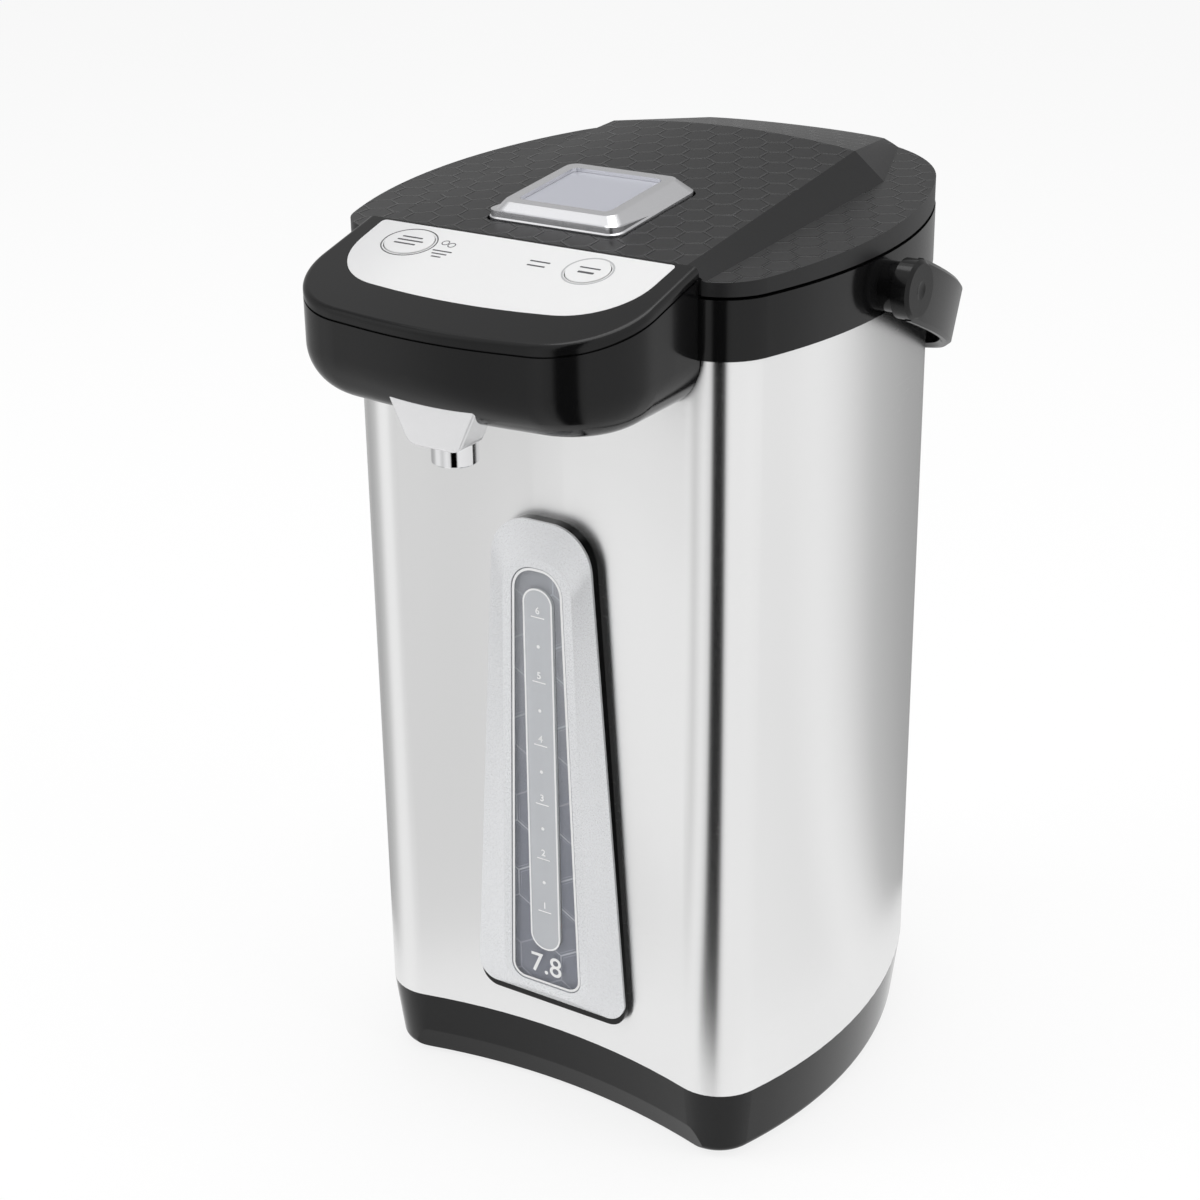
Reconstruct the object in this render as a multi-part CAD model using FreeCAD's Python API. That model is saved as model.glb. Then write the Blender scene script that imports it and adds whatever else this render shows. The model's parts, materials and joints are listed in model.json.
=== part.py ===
import FreeCAD, Part
import math
import os
from FreeCAD import Vector

os.makedirs("parts", exist_ok=True)

# Levels above the table
foot_height = 2.5
base_top_z = 34.4
jacket_top_z = 359.6
collar_top_z = 383.1
lid_gap = 1.2
deck_z = 364.0
deck_thickness = 2.5
tank_floor_z = 64.0

# Body outline seen from above
body_half_width = 106.0
front_y = -73.6
front_hollow_radius = 277.3
front_corner_radius = 21.7
side_radius = 212.0
back_y = 131.7
back_radius = 192.1
back_corner_radius = 76.0

# Fits
seat_gap = 0.3
slip_gap = 0.1
pin_clearance = 0.05

# Base
base_taper = 3.8
base_wall = 2.6
base_edge_round = 4.0
toe_radius_bottom = 283.0
toe_radius_top = 276.6
toe_top_z = 25.0
plate_thickness = 2.4
foot_radius = 9.0
foot_spread_x = 68.0
foot_front_y = -52.0
foot_back_y = 76.0
screw_spread_x = 50.0
screw_front_y = -46.0
screw_back_y = 96.0
screw_radius = 1.6
screw_head_radius = 3.4
screw_length = 11.0

# Steel jacket
jacket_wall = 0.8
jacket_tuck = 3.2
gauge_slot_half = 7.5
gauge_slot_low_z = 55.0
gauge_slot_high_z = 271.0
outlet_slot_half = 7.0

# Collar
collar_proud = 1.8
collar_wall = 4.8
mouth_y = 34.0
mouth_radius = 80.5
boss_radius = 10.0
boss_out_x = 114.0
pivot_y = 8.0
pivot_z = 370.0
strike_half = 9.0
strike_depth = 2.6

# Lid
lid_front_y = -83.3
lid_proud = 1.5
lid_wall = 2.8
wing_z = 392.2
wing_slope = 0.03
ridge_y = 70.0
plateau_front = (-90.0, 70.0, 80.0, 393.4, 0.6)
plateau_ridge = (ridge_y, 59.5, 74.0, 405.6, 3.8)
plateau_back = (136.0, 42.0, 50.0, 397.0, 0.5)
hinge_y = 124.0
hinge_z = 393.0
hinge_pin_radius = 1.5
ear_x = 20.0
ear_width = 6.0
ear_radius = 4.4
knuckle_width = 7.0
hinge_sweep = 13.4
lid_open_deg = 85.0

# Inner lid with its plug and bellows well
tub_inset = 7.0
tub_wall = 2.0
tub_floor_z = 369.5
tub_back_y = 111.0
plug_radius = 76.0
plug_z = 360.0
lid_gasket_radius = 84.0
well_y = -16.0
well_radius = 25.0
well_wall = 1.6
well_z = 356.0

# Press plate
press_y = -38.6
press_half_x = 31.0
press_half_y = 30.3
press_round = 6.0
press_top_inset = 5.2
press_rise = 5.6
press_tilt_deg = 5.75
press_base_z = 399.6
press_skirt_z = 392.4
press_travel = 11.5
press_gap = 0.7
insert_inset = 9.8
insert_depth = 1.6

# Bellows and springs
bellows_low_z = 358.0
bellows_high_z = 391.8
bellows_out = 21.5
bellows_in = 17.5
bellows_folds = 3
bellows_wall = 1.0
press_spring_radius = 12.5
press_spring_wire = 1.0
leaf_thickness = 0.4
leaf_half = 5.0
leaf_height = 3.6

# Latch
latch_nose_y = -69.1
latch_half = 7.5
latch_low_z = 372.0
latch_height = 4.2
latch_length = 17.0

# Head
head_half = 76.2
head_front_y = -153.6
head_corner_y = -146.0
head_corner_radius = 36.0
head_bow_radius = 300.0
head_bottom_z = 338.6
head_round = 20.0
head_wall = 2.6
head_slope = 0.265
groove_z0 = 413.4
bezel_z0 = 417.2
bezel_round = 2.6
bezel_back_y = -84.0
film_half = 67.6
film_thickness = 0.5
film_back_y = -85.2
film_corner_y = -126.0
film_front_y = -133.6
film_round = 30.0
reboil_x = -45.5
reboil_size = (10.5, 8.6)
dispense_x = 37.0
dispense_size = (8.8, 8.2)
button_y = -98.0
button_height = 4.4
button_travel = 0.8
button_gap = 0.35
scoop_radius = 20.0
scoop_y = -164.0
scoop_z = 342.5
scoop_half = 30.0

# Spout
spout_y = -134.5
spout_pipe_radius = 8.4
nozzle_radius = 9.1
nozzle_bore = 6.5
nozzle_low_z = 321.5
nozzle_high_z = 333.0
nozzle_neck_z = 329.7
nozzle_neck_step = 0.3
cover_front_y = -148.2
cover_back_y = -134.0
cover_top_half = 21.0
cover_low_half = 11.5
cover_top_z = 349.5
cover_low_z = 330.0
cover_wall = 1.6
feed_z = 352.0
feed_radius = 4.0
hose_wall = 1.0
hose_y = -65.0
hose_overlap = 5.0

# Level gauge
gauge_low_z = 50.5
gauge_high_z = 278.5
gauge_low_half = 38.6
gauge_high_half = 23.2
gauge_low_round = 9.0
gauge_high_round = 19.0
gauge_base_y = -79.0
gauge_rim_y = -80.2
gauge_face_y = -83.6
window_low_z = 63.0
window_high_z = 259.5
window_low_half = 18.2
window_high_half = 12.4
window_low_round = 7.0
window_high_round = 11.0
window_rim = 2.0
window_thickness = 1.2
panel_slot_half = 7.6
panel_slot_low_z = 81.0
panel_slot_high_z = 250.0
tube_y = -75.0
tube_radius = 4.0
tube_bore = 3.0
tube_low_z = 76.0
tube_high_z = 254.0
float_radius = 2.7
float_z = 88.0

# Handle
handle_clear = 10.5
handle_thick = 5.0
handle_height = 25.0
handle_back_y = 144.5
handle_droop_deg = 23.0
handle_eye_radius = 12.0
handle_eye_in_x = 114.3
handle_eye_out_x = 121.8
pivot_radius = 4.0

# Tank and works under it
tank_radius = 90.0
tank_wall = 0.6
tank_neck_radius = 82.0
tank_flange_radius = 87.0
tank_round = 12.0
outlet_y = -26.0
outlet_radius = 4.6
heater_radius = 62.0
heater_ring = 22.0
heater_thickness = 6.0
pump_y = -26.0
pump_radius = 17.0
pump_low_z = 30.0
pump_high_z = 46.0
motor_radius = 15.0
motor_low_z = 9.0
impeller_radius = 11.0
impeller_vanes = 6
board_y = 78.0
board_half_x = 40.0
board_half_y = 26.0
board_z = 22.0
board_thickness = 1.6

# Power inlet
inlet_z = 18.5
inlet_half_x = 13.5
inlet_half_z = 9.8
inlet_depth = 17.0
inlet_wall = 1.8
inlet_flange = 3.0


def circle_cross(c1, r1, c2, r2, rank):
    """Meeting point of two circles in plan that ranks highest."""
    d = c2.sub(c1)
    gap = d.Length
    along = (r1 * r1 - r2 * r2 + gap * gap) / (2 * gap)
    half = math.sqrt(r1 * r1 - along * along)
    u = d.multiply(1 / gap)
    foot = c1 + Vector(u.x * along, u.y * along, 0)
    n = Vector(-u.y * half, u.x * half, 0)
    return max([foot + n, foot - n], key=rank)


def on_circle(centre, towards, radius):
    d = towards.sub(centre)
    return centre + Vector(d.x * radius / d.Length, d.y * radius / d.Length, 0)


def arc_between(centre, radius, a, b):
    middle = on_circle(centre, a + b - centre, radius)
    return Part.Arc(a, middle, b).toShape()


def mirror_x(p):
    return Vector(-p.x, p.y, p.z)


def body_wire(off, z, back=back_y):
    """Closed outline of the pot at height z, grown by off."""
    c_front = Vector(0, front_y - front_hollow_radius, z)
    c_side = Vector(body_half_width - side_radius, 0, z)
    c_back = Vector(0, back - back_radius, z)
    reach = front_hollow_radius + front_corner_radius
    inner = side_radius - front_corner_radius
    c_corner = circle_cross(c_front, reach, c_side, inner, lambda p: p.x)
    c_rear = circle_cross(c_side, side_radius - back_corner_radius, c_back,
                          back_radius - back_corner_radius, lambda p: p.x + p.y)
    front_r = front_hollow_radius - off
    corner_r = front_corner_radius + off
    p1 = on_circle(c_front, c_corner, front_r)
    p2 = c_corner + (c_corner - c_side).normalize() * corner_r
    p3 = c_rear + (c_rear - c_side).normalize() * (back_corner_radius + off)
    p4 = c_rear + (c_rear - c_back).normalize() * (back_corner_radius + off)
    right = [arc_between(c_corner, corner_r, p1, p2),
             arc_between(c_side, side_radius + off, p2, p3),
             arc_between(c_rear, back_corner_radius + off, p3, p4)]
    left = []
    for edge in reversed(right):
        a = mirror_x(edge.Vertexes[1].Point)
        b = mirror_x(edge.Vertexes[0].Point)
        m = mirror_x(edge.valueAt((edge.FirstParameter + edge.LastParameter) / 2))
        left.append(Part.Arc(a, m, b).toShape())
    front = Part.Arc(mirror_x(p1), Vector(0, front_y - off, z), p1).toShape()
    back_edge = Part.Arc(p4, Vector(0, back + off, z), mirror_x(p4)).toShape()
    return Part.Wire([front] + right + [back_edge] + left)


def slab(off, z0, z1, back=back_y):
    return Part.Face(body_wire(off, z0, back)).extrude(Vector(0, 0, z1 - z0))


def block(x0, x1, y0, y1, z0, z1):
    return Part.makeBox(x1 - x0, y1 - y0, z1 - z0, Vector(x0, y0, z0))


def post(x, y, z0, z1, radius):
    return Part.makeCylinder(radius, z1 - z0, Vector(x, y, z0))


def pipe(x, y, z0, z1, outer, inner):
    return post(x, y, z0, z1, outer).cut(post(x, y, z0 - 1, z1 + 1, inner))


def rod_x(x0, x1, y, z, radius):
    return Part.makeCylinder(radius, x1 - x0, Vector(x0, y, z), Vector(1, 0, 0))


def rod_y(x, y0, y1, z, radius):
    return Part.makeCylinder(radius, y1 - y0, Vector(x, y0, z), Vector(0, 1, 0))


def rounded_wire(points, radii):
    """Closed wire through the points with each corner rounded by its radius."""
    edges = []
    ends = []
    count = len(points)
    for i in range(count):
        p = points[i]
        r = radii[i]
        if r == 0:
            ends.append((p, p))
            continue
        a = (points[i - 1] - p).normalize()
        b = (points[(i + 1) % count] - p).normalize()
        half = a.getAngle(b) / 2
        t = r / math.tan(half)
        start = p + a * t
        stop = p + b * t
        bisector = (a + b).normalize()
        middle = p + bisector * (r / math.sin(half) - r)
        ends.append((start, stop))
        edges.append((i, Part.Arc(start, middle, stop).toShape()))
    arcs = dict(edges)
    chain = []
    for i in range(count):
        if i in arcs:
            chain.append(arcs[i])
        after = ends[(i + 1) % count][0]
        if ends[i][1].distanceToPoint(after) > 1e-6:
            chain.append(Part.makeLine(ends[i][1], after))
    return Part.Wire(chain)


def plan_wire(corners, radii, z):
    return rounded_wire([Vector(x, y, z) for x, y in corners], radii)


def face_wire(corners, radii, y):
    return rounded_wire([Vector(x, y, z) for x, z in corners], radii)


def prism(wire, direction):
    return Part.Face(wire).extrude(direction)


def rectangle(half_x, half_y, centre_y, radius, z):
    corners = [(-half_x, centre_y - half_y), (half_x, centre_y - half_y),
               (half_x, centre_y + half_y), (-half_x, centre_y + half_y)]
    return plan_wire(corners, [radius] * 4, z)


def sloped_floor(z0, slope, low, high):
    """Space under the plane z = z0 + slope * y, down to low."""
    far = 200.0
    profile = [Vector(-far, -far, low), Vector(-far, far, low),
               Vector(-far, far, z0 + slope * far), Vector(-far, -far, z0 - slope * far)]
    return prism(Part.makePolygon(profile + profile[:1]), Vector(2 * far, 0, 0))


def fuse_all(shapes):
    whole = shapes[0].multiFuse(shapes[1:])
    return whole.removeSplitter()


def turned(profile, x=0.0, y=0.0):
    """Solid of revolution about the vertical line at x, y from (radius, z) points."""
    points = [Vector(x + r, y, z) for r, z in profile]
    face = Part.Face(Part.makePolygon(points + points[:1]))
    return face.revolve(Vector(x, y, 0), Vector(0, 0, 1), 360)


def bent_tube(points, outer, inner):
    """Tube through the points, mitred at each corner."""
    path = Part.makePolygon(points)
    solids = []
    for radius in (outer, inner):
        ring = Part.Wire([Part.makeCircle(radius, points[0], points[1] - points[0])])
        solids.append(path.makePipeShell([ring], True, False, 1))
    return solids[0].cut(solids[1])


def edges_where(shape, test):
    return [e for e in shape.Edges if test(e.BoundBox)]


def save(shape, name):
    shape.exportStep("parts/" + name + ".step")


# Base
def base_shape(inset, z0, z1):
    low = body_wire(-base_taper - inset, z0)
    high = body_wire(-inset, z1)
    return Part.makeLoft([low, high], True, True)


def base_shell():
    outer = base_shape(0.0, foot_height, base_top_z)
    low_edges = edges_where(outer, lambda b: b.ZMax < foot_height + 0.01)
    outer = outer.makeFillet(base_edge_round, low_edges)
    toe_centre = Vector(0, front_y - front_hollow_radius, foot_height)
    toe = Part.makeCone(toe_radius_bottom, toe_radius_top, toe_top_z - foot_height, toe_centre)
    outer = outer.cut(toe)
    inner = base_shape(base_wall, foot_height + plate_thickness + seat_gap, base_top_z)
    inner = inner.cut(Part.makeCone(toe_radius_bottom + base_wall, toe_radius_top + base_wall,
                                    toe_top_z - foot_height, toe_centre))
    mouth = slab(-base_taper - 2 * base_wall - base_edge_round, foot_height - 1, foot_height + 8)
    upstand = slab(-jacket_wall - slip_gap, base_top_z - base_wall, base_top_z + 5)
    upstand = upstand.cut(slab(-base_wall - 0.6, base_top_z - base_wall - 1, base_top_z + 6))
    inlet = block(-inlet_half_x - slip_gap, inlet_half_x + slip_gap, back_y - 20, back_y + 5,
                  inlet_z - inlet_half_z - slip_gap, inlet_z + inlet_half_z + slip_gap)
    shell = outer.cut(inner).cut(mouth).fuse(upstand)
    posts = []
    for x, y in screw_spots():
        posts.append(post(x, y, foot_height + plate_thickness + 0.2, foot_height + 16, 4.0))
        side = math.copysign(1, x)
        posts.append(arm_to_wall(x, y, side))
    shell = shell.fuse(fuse_all(posts).common(base_shape(0.5, foot_height, base_top_z)))
    for x, y in screw_spots():
        shell = shell.cut(post(x, y, foot_height, foot_height + 13, screw_radius))
    return shell.cut(inlet).removeSplitter()


def arm_to_wall(x, y, side):
    """Rib that ties a screw post to the side wall of the base."""
    z0 = foot_height + plate_thickness + 0.2 + seat_gap
    far = side * body_half_width
    return block(min(x, far), max(x, far), y - 1.2, y + 1.2, z0, foot_height + 12)


def screw_spots():
    return [(sx * screw_spread_x, y) for sx in (-1, 1) for y in (screw_front_y, screw_back_y)]


def foot_spots():
    return [(sx * foot_spread_x, y) for sx in (-1, 1) for y in (foot_front_y, foot_back_y)]


def base_plate():
    inset = -base_taper - 2 * base_wall - base_edge_round - seat_gap
    plate = slab(inset, foot_height, foot_height + plate_thickness)
    for x, y in screw_spots():
        plate = plate.cut(post(x, y, 0, 10, screw_radius + 0.2))
        plate = plate.cut(post(x, y, 0, foot_height + 1.2, screw_head_radius + 0.3))
    for x, y in foot_spots():
        plate = plate.cut(post(x, y, 0, foot_height + 1.0, foot_radius + 0.1))
    for k in range(-3, 4):
        plate = plate.cut(block(k * 7.0 - 1.2, k * 7.0 + 1.2, 0, 32, 0, 10))
    stands = [post(x, y, foot_height + plate_thickness - 0.5, board_z, 3.0) for x, y in board_corners()]
    return plate.fuse(fuse_all(stands)).removeSplitter()


def board_corners():
    inset = 5.0
    half_x = board_half_x - inset
    half_y = board_half_y - inset
    return [(sx * half_x, board_y + sy * half_y) for sx in (-1, 1) for sy in (-1, 1)]


def rubber_feet():
    feet = []
    for x, y in foot_spots():
        feet.append(post(x, y, 0, foot_height + 1.0, foot_radius))
    return Part.makeCompound(feet)


def base_screws():
    screws = []
    for x, y in screw_spots():
        z = foot_height + 0.1
        head = post(x, y, z, z + 1.1, screw_head_radius)
        slot = block(x - screw_head_radius, x + screw_head_radius, y - 0.4, y + 0.4, z - 0.1, z + 0.6)
        shaft = post(x, y, z + 1.1, z + screw_length, screw_radius - 0.1)
        screws.append(head.cut(slot).fuse(shaft).removeSplitter())
    return Part.makeCompound(screws)


def power_inlet():
    y1 = back_y - 1.0
    y0 = y1 - inlet_depth
    body = block(-inlet_half_x, inlet_half_x, y0, y1 + 1.5, inlet_z - inlet_half_z, inlet_z + inlet_half_z)
    corners = edges_where(body, lambda b: b.YLength > 10 and b.ZMin > inlet_z)
    body = body.makeChamfer(4.0, corners)
    hollow = block(-inlet_half_x + inlet_wall, inlet_half_x - inlet_wall, y0 + inlet_wall, y1 + 2,
                   inlet_z - inlet_half_z + inlet_wall, inlet_z + inlet_half_z - inlet_wall)
    hollow_corners = edges_where(hollow, lambda b: b.YLength > 10 and b.ZMin > inlet_z)
    body = body.cut(hollow.makeChamfer(3.2, hollow_corners))
    for x, z in inlet_pin_spots():
        body = body.cut(block(x - 1.05, x + 1.05, y0 - 1, y0 + 4, z - 2.05, z + 2.05))
    return body


def inlet_pin_spots():
    return [(-7.0, inlet_z - 1.5), (0.0, inlet_z + 2.0), (7.0, inlet_z - 1.5)]


def inlet_pins():
    y1 = back_y - 1.0
    pins = []
    for x, z in inlet_pin_spots():
        pins.append(block(x - 1.0, x + 1.0, y1 - inlet_depth - 5, y1 - 3, z - 2.0, z + 2.0))
    return Part.makeCompound(pins)


# Jacket and collar
def outer_jacket():
    top = jacket_top_z + jacket_tuck
    shell = slab(0, base_top_z, top).cut(slab(-jacket_wall, base_top_z - 1, top + 1))
    slot = block(-gauge_slot_half, gauge_slot_half, front_y - 20, front_y + 10, gauge_slot_low_z, gauge_slot_high_z)
    rounds = edges_where(slot, lambda b: b.YLength > 10)
    slot = slot.makeFillet(gauge_slot_half - 0.5, rounds)
    notch = block(-outlet_slot_half, outlet_slot_half, front_y - 20, front_y + 10, feed_z - 15, feed_z + 7)
    return shell.cut(slot).cut(notch)


def top_collar():
    z0 = jacket_top_z
    wall = slab(collar_proud, z0, collar_top_z)
    wall = wall.cut(slab(collar_proud - collar_wall, deck_z + deck_thickness, collar_top_z + 1))
    wall = wall.cut(slab(collar_proud - collar_wall, z0 - 1, deck_z))
    tuck = slab(slip_gap, z0 - 1, z0 + jacket_tuck + slip_gap)
    tuck = tuck.cut(slab(-jacket_wall - slip_gap, z0 - 2, z0 + jacket_tuck + 1))
    wall = wall.cut(tuck)
    wall = wall.cut(post(0, mouth_y, deck_z - 1, deck_z + deck_thickness + 1, mouth_radius))
    sweep = rod_x(-72, 72, hinge_y, hinge_z, hinge_sweep)
    wall = wall.cut(sweep)
    strike = block(-strike_half, strike_half, front_y - strike_depth + collar_wall - collar_proud,
                   front_y + 8, latch_low_z - 0.6, latch_low_z + latch_height + 0.6)
    wall = wall.cut(strike)
    extra = []
    for side in (-1, 1):
        x0 = min(side * ear_x, side * (ear_x + ear_width))
        stem = block(x0, x0 + ear_width, hinge_y - ear_radius, hinge_y + ear_radius,
                     deck_z + deck_thickness - 0.5, hinge_z)
        ear = stem.fuse(rod_x(x0, x0 + ear_width, hinge_y, hinge_z, ear_radius))
        bore = rod_x(x0 - 1, x0 + ear_width + 1, hinge_y, hinge_z, hinge_pin_radius + pin_clearance)
        extra.append(ear.cut(bore))
        boss_in_x = body_half_width + slip_gap
        a = min(side * boss_in_x, side * boss_out_x)
        boss = rod_x(a, a + boss_out_x - boss_in_x, pivot_y, pivot_z, boss_radius)
        extra.append(boss)
    wall = wall.fuse(fuse_all(extra))
    for side in (-1, 1):
        a = min(side * (body_half_width - 6), side * (boss_out_x + 1))
        wall = wall.cut(rod_x(a, a + boss_out_x - body_half_width + 7, pivot_y, pivot_z, pivot_radius))
    return wall.removeSplitter()


# Lid
def plateau(drop, shrink):
    wires = []
    for y, top_half, foot_half, edge_z, crown in (plateau_front, plateau_ridge, plateau_back):
        top = top_half - shrink
        foot = foot_half - shrink
        z = edge_z - drop
        low = wing_z - 14.0
        a = Vector(-top, y, z)
        b = Vector(top, y, z)
        arc = Part.Arc(a, Vector(0, y, z + crown), b).toShape()
        c = Vector(foot, y, wing_z + wing_slope * y - drop - 0.5)
        d = Vector(foot, y, low)
        chain = [arc, Part.makeLine(b, c), Part.makeLine(c, d),
                 Part.makeLine(d, mirror_x(d)), Part.makeLine(mirror_x(d), mirror_x(c)),
                 Part.makeLine(mirror_x(c), a)]
        wires.append(Part.Wire(chain))
    return Part.makeLoft(wires, True, True)


def lid_slab(off, z0, z1):
    grown = slab(off, z0, z1)
    front = lid_front_y - off + lid_proud
    side = head_half + lid_gap
    filler = block(-side, side, front, front_y + 12, z0, z1)
    nose = block(-side, side, front - 60, front, z0 - 1, z1 + 1)
    return grown.fuse(filler).cut(nose).removeSplitter()


def lid_shape(off, low, drop, shrink):
    top = lid_slab(off, low, 430)
    mass = sloped_floor(wing_z - drop, wing_slope, 340, 430).fuse(plateau(drop, shrink))
    return top.common(mass).removeSplitter()


def press_opening(z0, z1):
    wire = rectangle(press_half_x + press_gap, press_half_y + press_gap, press_y, press_round, z0)
    return prism(wire, Vector(0, 0, z1 - z0))


def lid_shell():
    low = collar_top_z + lid_gap
    outer = lid_shape(lid_proud, low, 0, 0)
    inner = lid_shape(lid_proud - lid_wall, low - 1, lid_wall, lid_wall)
    shell = outer.cut(inner)
    for side in (-1, 1):
        for start in (ear_x - knuckle_width - 0.5, ear_x + ear_width + 0.5):
            x0 = min(side * start, side * (start + knuckle_width))
            knuckle = block(x0, x0 + knuckle_width, hinge_y - 4.5, hinge_y + 4.5, hinge_z - 5, hinge_z + 6)
            shell = shell.fuse(knuckle.common(outer))
    shell = shell.cut(rod_x(-60, 60, hinge_y, hinge_z, hinge_pin_radius + pin_clearance))
    for side in (-1, 1):
        x0 = min(side * (ear_x - 0.5), side * (ear_x + ear_width + 0.5))
        shell = shell.cut(block(x0, x0 + ear_width + 1, hinge_y - 9, back_y + 20, low - 1, hinge_z + ear_radius + 0.6))
    return shell.cut(press_opening(low, 430)).removeSplitter()


def lid_liner():
    flange_z = collar_top_z + lid_gap + 0.6
    tub_outer = slab(-tub_inset, tub_floor_z, flange_z + 2.0)
    tub_inner = slab(-tub_inset - tub_wall, tub_floor_z + tub_wall, flange_z + 3.0)
    back_box = block(-200, 200, tub_back_y, 200, 300, 430)
    back_in = block(-200, 200, tub_back_y - tub_wall, 200, 300, 430)
    tub = tub_outer.cut(back_box).cut(tub_inner.cut(back_in))
    flange = lid_slab(lid_proud - lid_wall - seat_gap, flange_z, flange_z + 2.0)
    flange = flange.cut(slab(-tub_inset, flange_z - 1, flange_z + 3).cut(back_box))
    flange = flange.cut(block(-36, 36, hinge_y - 10, 200, 300, 430))
    plug = pipe(0, mouth_y, plug_z, tub_floor_z + 0.5, plug_radius, plug_radius - tub_wall)
    well = post(0, well_y, well_z, tub_floor_z + tub_wall, well_radius)
    inner = post(0, well_y, well_z + well_wall, 430, well_radius - well_wall)
    body = tub.fuse(flange).fuse(plug).fuse(well).cut(inner)
    body = body.cut(post(0, well_y, well_z - 1, well_z + 5, 2.0))
    slot = block(-latch_half - 0.4, latch_half + 0.4, front_y - 5, front_y + 12,
                 latch_low_z - 0.3, latch_low_z + latch_height + 0.3)
    body = body.cut(slot)
    guide = []
    for side in (-1, 1):
        x0 = min(side * (latch_half + 0.4), side * (latch_half + 2.2))
        guide.append(block(x0, x0 + 1.8, latch_nose_y + 6, latch_nose_y + 17,
                           tub_floor_z + 1, latch_low_z + latch_height))
    stop_y = latch_nose_y + latch_length + 6.0
    guide.append(block(-4, 4, stop_y, stop_y + 1.6, tub_floor_z + 1, latch_low_z + latch_height))
    notch_x = press_half_x + press_gap
    notch = block(-notch_x, notch_x, press_y - press_half_y - press_gap, press_y,
                  press_skirt_z - press_travel - press_gap, collar_top_z + 10)
    return body.fuse(fuse_all(guide).cut(inner)).cut(notch).removeSplitter()


def lid_gasket():
    z1 = tub_floor_z
    z0 = deck_z + deck_thickness + seat_gap
    return pipe(0, mouth_y, z0, z1, lid_gasket_radius, plug_radius + slip_gap)


# Press plate, bellows and latch
def tilt(shape):
    shape.rotate(Vector(0, press_y, press_base_z), Vector(1, 0, 0), press_tilt_deg)
    return shape


def press_frame_blank():
    low = rectangle(press_half_x, press_half_y, press_y, press_round, press_base_z - 1.5)
    mid = rectangle(press_half_x, press_half_y, press_y, press_round, press_base_z)
    high = rectangle(press_half_x - press_top_inset, press_half_y - press_top_inset, press_y,
                     press_round - 1.5, press_base_z + press_rise)
    lower = Part.makeLoft([low, mid], True, True)
    upper = Part.makeLoft([mid, high], True, True)
    return lower.fuse(upper).removeSplitter()


def insert_box(grow, z0, z1):
    wire = rectangle(press_half_x - insert_inset + grow, press_half_y - insert_inset + grow, press_y,
                     3.0, z0)
    return prism(wire, Vector(0, 0, z1 - z0))


def press_frame():
    top = press_base_z + press_rise
    blank = press_frame_blank().cut(insert_box(0, top - insert_depth - 1.2, top + 1))
    blank = tilt(blank)
    skirt_out = prism(rectangle(press_half_x - 0.6, press_half_y - 0.6, press_y, press_round - 0.6,
                                press_skirt_z), Vector(0, 0, press_base_z - press_skirt_z))
    skirt_in = prism(rectangle(press_half_x - 2.4, press_half_y - 2.4, press_y, press_round - 2.4,
                               press_skirt_z - 1), Vector(0, 0, press_base_z - press_skirt_z - 2.0))
    skirt = skirt_out.cut(skirt_in)
    floor = tilt(press_frame_blank())
    below = block(-100, 100, -150, 60, press_base_z + 0.5, 430)
    pusher = post(0, well_y - 3.0, bellows_high_z + seat_gap, press_base_z, 9.0)
    return blank.fuse(skirt.cut(below)).fuse(pusher.common(floor.fuse(skirt_out))).removeSplitter()


def press_insert():
    top = press_base_z + press_rise
    panel = insert_box(-slip_gap, top - insert_depth - 1.2, top - insert_depth)
    return tilt(panel)


def bellows():
    pitch = (bellows_high_z - bellows_low_z - 3.0) / bellows_folds
    outside = []
    for k in range(bellows_folds):
        z = bellows_low_z + 1.5 + k * pitch
        outside.append((bellows_in, z))
        outside.append((bellows_out, z + pitch / 2))
    outside.append((bellows_in, bellows_high_z - 1.5))
    inside = [(r - bellows_wall * 1.2, z) for r, z in reversed(outside)]
    ring = turned(outside + inside, 0, well_y)
    low = pipe(0, well_y, bellows_low_z, bellows_low_z + 1.6, bellows_out, 3.0)
    high = post(0, well_y, bellows_high_z - 1.6, bellows_high_z, bellows_out)
    return ring.fuse(low).fuse(high).removeSplitter()


def press_spring():
    """Return spring inside the bellows, as the sleeve that its turns fill."""
    low = bellows_low_z + 1.6 + 0.2
    high = bellows_high_z - 1.6 - 0.2
    return pipe(0, well_y, low, high, press_spring_radius + press_spring_wire,
                press_spring_radius - press_spring_wire)


def lid_latch():
    y0 = latch_nose_y
    z0 = latch_low_z
    bolt = block(-latch_half, latch_half, y0, y0 + latch_length, z0, z0 + latch_height)
    nose = edges_where(bolt, lambda b: b.XLength > 10 and b.YMax < y0 + 0.01 and b.ZMax < z0 + 0.01)
    bolt = bolt.makeChamfer(2.6, nose)
    spigot = rod_y(0, y0 + latch_length - 0.5, y0 + latch_length + 1.5, z0 + latch_height / 2, 1.2)
    return bolt.fuse(spigot).removeSplitter()


def latch_spring():
    """Bowed leaf between the latch and its stop."""
    y0 = latch_nose_y + latch_length + 0.1
    z0 = latch_low_z + 0.2
    t = leaf_thickness
    rise = 5.6
    back = Part.Arc(Vector(-leaf_half, y0 + rise, z0), Vector(0, y0 + 2.0, z0), Vector(leaf_half, y0 + rise, z0))
    front = Part.Arc(Vector(leaf_half, y0 + rise - t, z0), Vector(0, y0 + 2.0 - t, z0),
                     Vector(-leaf_half, y0 + rise - t, z0))
    ends = [Part.makeLine(Vector(leaf_half, y0 + rise, z0), Vector(leaf_half, y0 + rise - t, z0)),
            Part.makeLine(Vector(-leaf_half, y0 + rise - t, z0), Vector(-leaf_half, y0 + rise, z0))]
    wire = Part.Wire([back.toShape(), ends[0], front.toShape(), ends[1]])
    return prism(wire, Vector(0, 0, leaf_height))


def hinge_pin():
    half = ear_x + ear_width + knuckle_width
    return rod_x(-half, half, hinge_y, hinge_z, hinge_pin_radius)


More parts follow.
